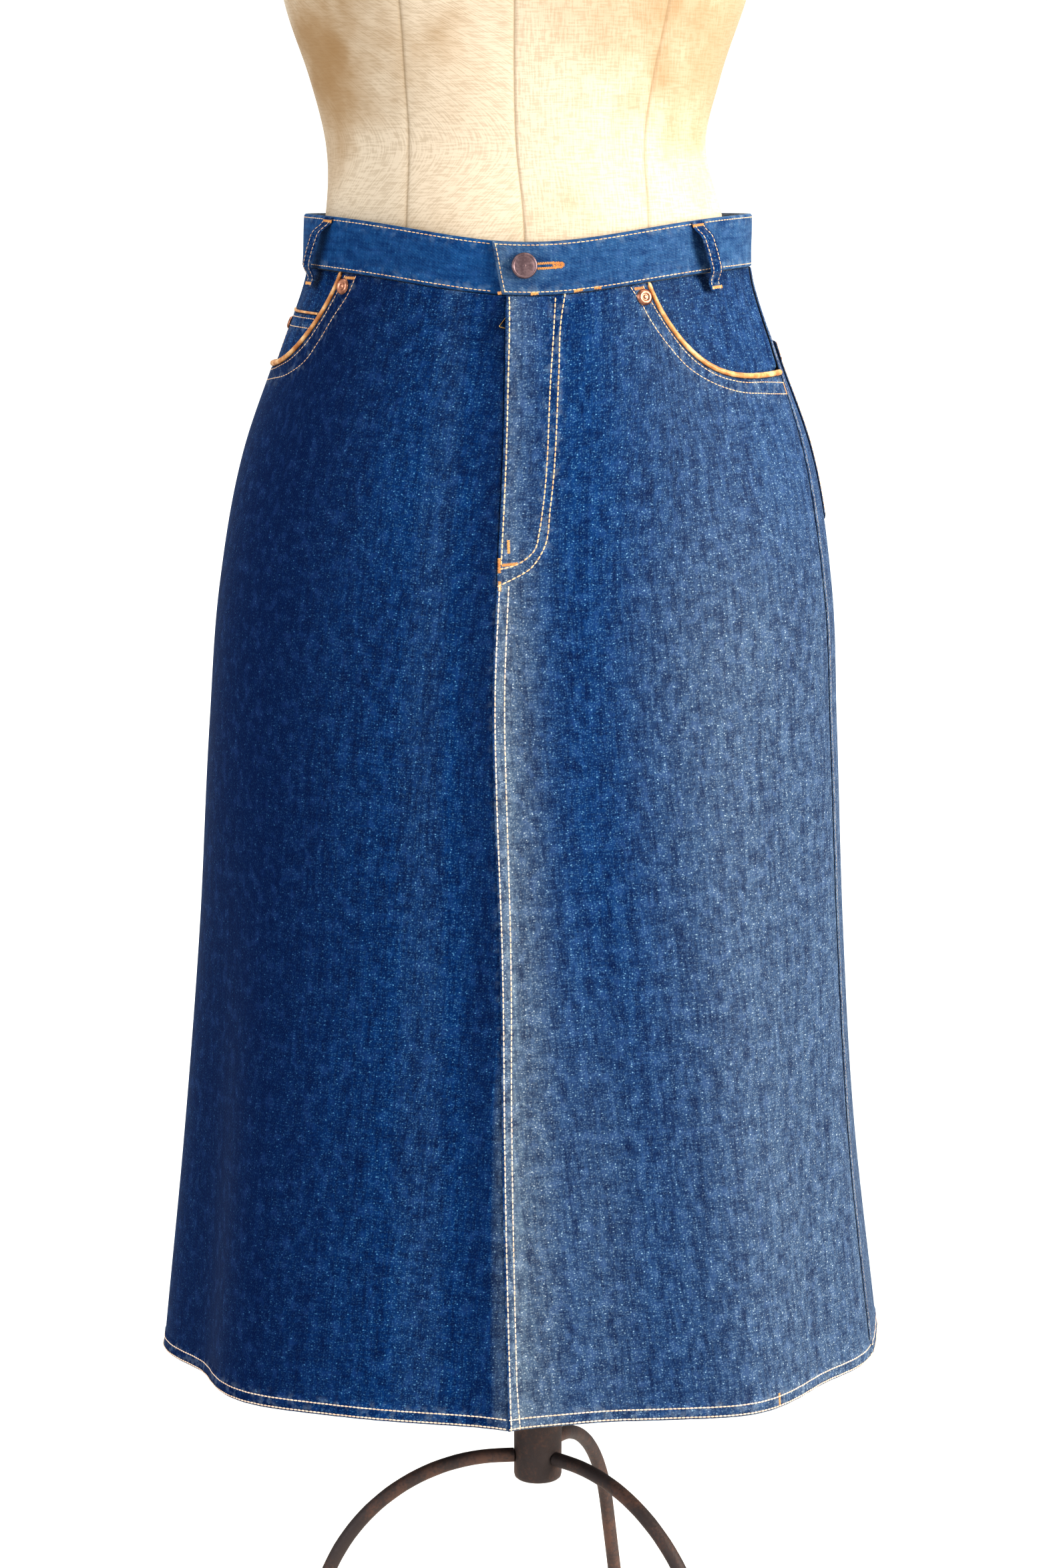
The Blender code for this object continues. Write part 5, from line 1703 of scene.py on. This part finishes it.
    def buttonhole(self) -> Object:
        """The keyhole buttonhole's edge, worked in orange thread."""
        edge = Stitching("buttonhole", BUTTONHOLE, Finish.ORANGE_THREAD)
        edge.row([(3.4, 0.0148), (6.0, 0.0146), (9.0, 0.0148), (11.6, 0.0152)], self.band_out)
        edge.row([(11.6, 0.0176), (9.0, 0.0178), (6.0, 0.018), (3.4, 0.018)], self.band_out)
        edge.row([(11.4, 0.015), (12.3, 0.0164), (11.4, 0.0178)], self.band_out)
        edge.row([
            (8.4, 0.014), (9.4, 0.0186), (10.2, 0.0142), (11, 0.0184), (11.8, 0.015),
        ], self.band_out)
        return edge.sew()

    def loose_threads(self) -> Stitching:
        """Bits of mending thread on the waistband's lower edge."""
        bits = Stitching("loose_threads", BARTACK, Finish.ORANGE_THREAD)
        bits.row([(1.3, 0.035), (3.6, 0.0345)], self.band_out)
        bits.row([(15.8, 0.0348), (18.4, 0.0342)], self.band_out)
        bits.row([(22.5, 0.0342), (24.6, 0.0346)], self.band_out)
        bits.row([(-9.6, 0.0352), (-8.6, 0.0348)], self.band_out)
        return bits

    def near_stitches(self) -> KDTree:
        """The stitch rows' points, to ask how near a place is to them."""
        points = np.concatenate([rows.points() for rows in self.stitching])
        tree = KDTree(len(points))
        for k, point in enumerate(points):
            tree.insert(point, k)
        tree.balance()
        return tree

    def build(self) -> None:
        """Makes the whole skirt."""
        self.stitch()
        near = self.near_stitches()
        sheets = [*self.panels(), self.waistband(), *self.pocket_sheets(), *self.loop_sheets()]
        for sheet in sheets:
            sheet.build(near)
        for sheet in self.fly_sheets():
            sheet.build()
        for rows in self.stitching:
            rows.sew()
        self.loose_threads().sew()
        self.buttonhole()
        self.piping()
        self.teeth()

    def piping(self) -> None:
        """Leather cord round the two pocket openings and the coin pocket's top."""
        for side, (start, low) in self.openings.items():
            way = 1 if side == "left" else -1
            end = float(SKIRT.seam(f"side_{side}", low)) - way * 0.25
            angle = start + (end - start) * np.linspace(0.0, 1.0, 90) ** 1.6
            drop = self.opening_drop(side, angle)
            edge = SKIRT.point(angle, drop)
            normal = SKIRT.normal(angle, drop)
            run = unit(np.gradient(edge, axis=0))
            above = np.cross(run, normal) * -way
            points = edge + above * 0.0016 - normal * 0.0001
            points[:, 2] = np.minimum(points[:, 2], SKIRT.point(angle, self.band + 0.0012)[:, 2])
            name = f"pocket_piping_{side}"
            mesh = sweep(points, np.linspace(0.0015, 0.0021, len(points)), 16, 0.05)
            make_piece(name, "leather", mesh, Finish.LEATHER)
        angle = np.linspace(self.coin_angles[0], self.coin_angles[1] - 0.9, 40)
        drop = np.full_like(angle, self.coin_top - 0.0009)
        points = SKIRT.out(angle, drop, self.coin_out(angle, drop))
        mesh = sweep(points, np.float64(0.00095), 12, 0.05)
        make_piece("coin_piping", "leather", mesh, Finish.LEATHER)

    def teeth(self) -> None:
        """The closed teeth of the zip."""
        drop = np.linspace(0.0525, 0.1875, 60)
        angle = self.zip_angle(drop, np.zeros_like(drop))
        path = (SKIRT.out(angle, drop, np.full_like(drop, -0.002)), SKIRT.normal(angle, drop))
        hang(TEETH.lay("zip_teeth", [path], Finish.BRASS), "brass", "zip_chain")


@dataclass
class Hardware:
    """The shank button and the rivets, and the finish of the zip's slider and pull."""

    button_place: tuple[float, float] = (-1.2, 0.0162)
    button_profile: Table = (
        (0, 0.00555), (0.0007, 0.00552), (0.0011, 0.0054), (0.0016, 0.00545), (0.004, 0.00538),
        (0.006, 0.00515), (0.0068, 0.005), (0.0072, 0.00525), (0.0079, 0.0053), (0.0084, 0.005),
        (0.0088, 0.0043), (0.0087, 0.0035), (0.0083, 0.0028), (0.006, 0.0022), (0.0034, 0.002),
        (0.0031, 0.0012), (0.0031, 0), (0, 0),
    )
    rivet_profile: Table = (
        (0, 0.00165), (0.0007, 0.0016), (0.0012, 0.00125), (0.0017, 0.00115), (0.0024, 0.0015),
        (0.0031, 0.00158), (0.0038, 0.0013), (0.0043, 0.0008), (0.0045, 0.00035), (0.0044, 0), (0, 0),
    )
    rivets: dict[str, tuple[float, float, float]] = field(default_factory=lambda: {
        "rivet_pocket_left": (38.5, 0.0455, 0.0005), "rivet_pocket_right": (-60.8, 0.0455, 0.0005),
        "rivet_coin": (-91.1, 0.074, -0.0019),
    })
    pocket_rivet_spread: float = 1.18

    def build(self) -> None:
        """Makes the button and the rivets, and dresses the slider and the pull."""
        mesh = lathe(rounded(self.button_profile, 3), 72, facing_out(*self.button_place, 0.0018))
        make_piece("button", "antique_copper", mesh, Finish.ANTIQUE, "button_jeans")
        for name, (angle, drop, out) in self.rivets.items():
            spread = self.pocket_rivet_spread if "pocket" in name else 1.0
            profile = [(radius * spread, height) for radius, height in self.rivet_profile]
            mesh = lathe(rounded(profile, 3), 40, facing_out(angle, drop, out))
            make_piece(name, "copper", mesh, Finish.COPPER, f"{name}_cap")
        for name in ("zip_slider", "zip_pull"):
            dress(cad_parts[name], Finish.BRASS)


def dress(node: Object, finish: Finish) -> None:
    """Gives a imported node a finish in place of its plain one."""
    for slot in node.material_slots:
        slot.material = finish.material()
    if not node.material_slots:
        node.data.materials.append(finish.material())


@dataclass
class DressForm:
    """The limbless padded form, its cap and its base board."""

    waistline: float = 1.243
    # above the waistline, half_width, centre, front, back, squareness
    sections: Table = (
        (-0.278, 0.154, 0.003, 0.102, 0.108, 2.1), (-0.262, 0.161, 0.003, 0.106, 0.116, 2.1),
        (-0.21, 0.167, 0.0036, 0.11, 0.123, 2.1), (-0.15, 0.1615, 0.0036, 0.1105, 0.12, 2.1),
        (-0.095, 0.148, 0.0032, 0.107, 0.109, 2.1), (-0.05, 0.14, 0.002, 0.104, 0.104, 2.1),
        (0, 0.1334, -0.003, 0.098, 0.094, 2.1), (0.046, 0.1437, -0.0043, 0.103, 0.096, 2.1),
        (0.101, 0.1617, -0.004, 0.115, 0.102, 2.2), (0.17, 0.174, -0.0038, 0.14, 0.11, 2.3),
        (0.24, 0.185, -0.0035, 0.124, 0.115, 2.4), (0.29, 0.188, -0.003, 0.103, 0.113, 2.4),
        (0.325, 0.176, -0.003, 0.088, 0.104, 2.3), (0.35, 0.138, -0.003, 0.076, 0.092, 2.1),
        (0.368, 0.092, -0.003, 0.066, 0.078, 2), (0.385, 0.065, -0.003, 0.059, 0.064, 2),
        (0.42, 0.056, -0.003, 0.054, 0.056, 2),
    )
    # above the waistline, the angles of the two front and the two back shaping seams
    seams: Table = (
        (-0.278, -44, 46, -142, 142), (-0.053, -42.8, 45.2, -144, 144), (0, -41.5, 49, -146, 146),
        (0.094, -37.5, 49, -144, 144), (0.17, -34, 45, -142, 142), (0.29, -31, 38, -140, 140),
        (0.35, -27, 31, -143, 143), (0.42, -25, 27, -145, 145),
    )
    seam_depth: float = 0.0006
    rings: int = 190
    between: int = 15

    def column_angles(self, above: Array) -> tuple[Array, Array]:
        """The angles of the grid's columns at each height, close beside every seam.

        Returns:
            The angles by column and height, and which columns lie on a seam.
        """
        ones = np.ones_like(above)
        marks = [
            0 * ones, along(self.seams, 2, above), 90 * ones, along(self.seams, 4, above), 180 * ones,
            360 + along(self.seams, 3, above), 270 * ones, 360 + along(self.seams, 1, above), 360 * ones,
        ]
        columns, on_seam = [], []
        for a, b in zip(marks, marks[1:]):
            for off, mark in ((0.0, 1.0), (0.45, 0.35), (1.1, 0.0)):
                columns.append(a + off)
                on_seam.append(mark)
            for k in range(1, self.between):
                columns.append(a + 1.1 + (b - a - 2.2) * k / self.between)
                on_seam.append(0.0)
            for off, mark in ((1.1, 0.0), (0.45, 0.35)):
                columns.append(b - off)
                on_seam.append(mark)
        return np.array(columns), np.array(on_seam)

    def torso(self) -> None:
        """The linen-covered torso with its shaping seams as shallow troughs."""
        low, high = self.sections[0][0], self.sections[-1][0]
        above = np.linspace(high, low, self.rings)
        angle, on_seam = self.column_angles(above)
        level = np.broadcast_to(above, angle.shape)
        turn = np.radians(angle)
        radius = section_radius(self.sections, angle, level)
        swell = 0.0006 * np.sin(turn * 3 + level * 31) * np.sin(level * 47 + 1.3)
        radius = radius + swell - self.seam_depth * on_seam[:, None]
        middle = along(self.sections, 2, level)
        place = [middle + radius * np.sin(turn), -radius * np.cos(turn), self.waistline + level]
        points = np.stack(place, -1)
        columns, rows = angle.shape
        faces = grid_faces(columns, rows, closed=True).tolist()
        faces.append([k * rows for k in reversed(range(columns))])
        faces.append([k * rows + rows - 1 for k in range(columns)])
        mesh = bpy.data.meshes.new("torso")
        mesh.from_pydata(points.reshape(-1, 3).tolist(), [], faces)
        clean(mesh, join=False)
        mesh.shade_smooth()
        mesh.set_sharp_from_angle(angle=math.radians(60))
        steps = np.linalg.norm(np.diff(points, axis=0), axis=-1)
        run = np.concatenate([np.zeros((1, rows)), np.cumsum(steps, 0)])
        store_map(mesh, np.stack([run, level], -1).reshape(-1, 2))
        store(mesh, "seam", np.repeat(on_seam, rows))
        make_piece("form_torso", "linen", mesh, Finish.LINEN, "form_linen")

    def build(self) -> None:
        """Makes the form and dresses its wooden parts."""
        self.torso()
        for name in ("neck_cap", "base_board"):
            dress(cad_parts[name], Finish.WOOD)


@dataclass
class IronStand:
    """The pole, the cylindrical hub and three bent legs of round rod."""

    pole: tuple[float, float] = (0.0125, 0.0075)
    pole_radius: float = 0.011
    hub_bottom: float = 0.262
    hub_profile: Table = (
        (0, 0.074), (0.013, 0.074), (0.0155, 0.0738), (0.017, 0.0728), (0.0178, 0.0708),
        (0.0177, 0.056), (0.0179, 0.04), (0.0177, 0.02), (0.0178, 0.004), (0.0172, 0.0014),
        (0.0158, 0.0002), (0.013, 0), (0, 0),
    )
    leg_radius: float = 0.00525
    leg_height: float = 0.28
    leg_run: float = 0.03
    leg_bend: float = 0.138
    leg_sweep: float = 72.0
    foot_rise: float = 0.03
    legs: dict[str, float] = field(
        default_factory=lambda: {"leg_front": -43.0, "leg_back": 70.0, "leg_side": 187.0}
    )

    def leg_points(self, azimuth: float) -> Array:
        """A leg's middle line, from the hub to the floor."""
        path = [(0.0181, self.leg_height), (0.024, self.leg_height)]
        sweep_to = math.radians(self.leg_sweep)
        for k in range(0, 29):
            turn = sweep_to * k / 28
            path.append((
                self.leg_run + self.leg_bend * math.sin(turn),
                self.leg_height - self.leg_bend * (1 - math.cos(turn)),
            ))
        reach, height = path[-1]
        splay = math.tan(math.radians(90.0 - self.leg_sweep))
        foot = reach + (height - self.foot_rise) * splay
        for k in range(1, 9):
            path.append((reach + (foot - reach) * k / 8, height + (self.foot_rise - height) * k / 8))
        turn_up = 0.6 * self.foot_rise
        for k in range(1, 7):
            t = k / 6
            path.append((foot + splay * turn_up * (t - t * t / 2), self.foot_rise - turn_up * t))
        path.append((path[-1][0], 0.0))
        turn = math.radians(azimuth)
        return np.array([
            (self.pole[0] + r * math.cos(turn), self.pole[1] + r * math.sin(turn), z) for r, z in path
        ])

    def build(self) -> None:
        """Makes the legs, the hub and the pole."""
        for name, azimuth in self.legs.items():
            mesh = sweep(self.leg_points(azimuth), np.float64(self.leg_radius), 24, 0.012)
            make_piece(name, "iron", mesh, Finish.IRON, f"{name}_rod")
        where = Matrix.Translation((*self.pole, self.hub_bottom))
        mesh = lathe(self.hub_profile, 64, where)
        make_piece("hub", "iron", mesh, Finish.IRON, "hub_iron")
        low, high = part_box("pole")
        rows = np.linspace(high.z, low.z, 40)
        profile = [(0.0, rows[0])] + [(self.pole_radius, z) for z in rows] + [(0.0, rows[-1])]
        mesh = lathe(profile, 40, Matrix.Translation((*self.pole, 0.0)))
        make_piece("pole", "iron", mesh, Finish.IRON, "pole_iron")


@dataclass
class Studio:
    """The floor, the light and the camera."""

    camera_place: Triple = (0.0018, -2.6425, 1.219)
    camera_pitch: float = 9.26
    lens: float = 85.0
    white: Colour = (1.0, 0.995, 0.955)
    fill: float = 0.5
    # place, what it points at, size, power, colour
    lights: tuple[tuple[Triple, Triple, float, float, Colour], ...] = (
        ((2.96, -1.57, 1.7), (0.05, 0, 0.9), 1.7, 128, (1, 0.93, 0.825)),
        ((-2.4, -2.2, 1.9), (0, 0, 0.9), 2.4, 38, (0.95, 0.98, 1)),
        ((0.3, 0.9, 3.4), (0, 0, 0.3), 3, 60, (1, 0.99, 0.96)),
    )

    def build(self) -> None:
        """Makes the stage and points the camera."""
        self.floor()
        self.world()
        for place, target, size, power, colour in self.lights:
            self.light(place, target, size, power, colour)
        data = bpy.data.cameras.new("camera")
        data.lens = self.lens
        data.sensor_fit = "VERTICAL"
        data.sensor_height = 36.0
        data.clip_start, data.clip_end = 0.05, 60.0
        camera = put("camera", data)
        camera.location = self.camera_place
        camera.rotation_euler = (math.radians(90 - self.camera_pitch), 0.0, 0.0)
        bpy.context.scene.camera = camera
        view = bpy.context.scene.view_settings
        view.view_transform, view.look = "Standard", "High Contrast"

    def light(self, place: Triple, target: Triple, size: float, power: float, colour: Colour) -> None:
        """A soft square light that points at a target."""
        data = bpy.data.lights.new("soft_light", "AREA")
        data.size, data.energy, data.color = size, power, colour
        lamp = put("soft_light", data)
        lamp.location = place
        way = Vector(target) - Vector(place)
        lamp.rotation_euler = way.to_track_quat("-Z", "Y").to_euler()

    def world(self) -> None:
        """A pale surround that shows brighter than it lights."""
        world = bpy.data.worlds.new("surround")
        world.use_nodes = True
        bpy.context.scene.world = world
        tree = world.node_tree
        back = tree.nodes["Background"]
        path = tree.nodes.new("ShaderNodeLightPath")
        strength = tree.nodes.new("ShaderNodeMapRange")
        strength.inputs["To Min"].default_value = self.fill
        strength.inputs["To Max"].default_value = 1.0
        tree.links.new(path.outputs["Is Camera Ray"], strength.inputs["Value"])
        tree.links.new(strength.outputs["Result"], back.inputs["Strength"])
        back.inputs["Color"].default_value = (*self.white, 1.0)

    def floor(self) -> None:
        """A round pale floor that fades into the surround."""
        turns = np.linspace(0, math.tau, 96, endpoint=False)
        ring = [(4.0 * math.cos(a), 4.0 * math.sin(a), 0.0) for a in turns]
        mesh = bpy.data.meshes.new("floor")
        mesh.from_pydata(ring, [], [list(range(len(ring)))])
        made = put("floor", mesh)
        tree = ShaderTree("floor")
        tree.plain(Base_Color=(0.93, 0.925, 0.89), Roughness=0.8, Specular_IOR_Level=0.1)
        off = tree.node("ShaderNodeVectorMath", operation="LENGTH")
        tree.feed(off.inputs[0], tree.object_place())
        solid = tree.minus(1.0, tree.step(off.outputs["Value"], 0.3, 0.85))
        tree.feed(tree.surface.inputs["Alpha"], solid)
        mesh.materials.append(tree.material)


def main() -> None:
    """Builds every sub-assembly in order."""
    logging.basicConfig(level=logging.INFO, format="%(message)s")
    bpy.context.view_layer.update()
    Studio().build()
    Skirt().build()
    Hardware().build()
    DressForm().build()
    IronStand().build()


if __name__ == "__main__":
    main()
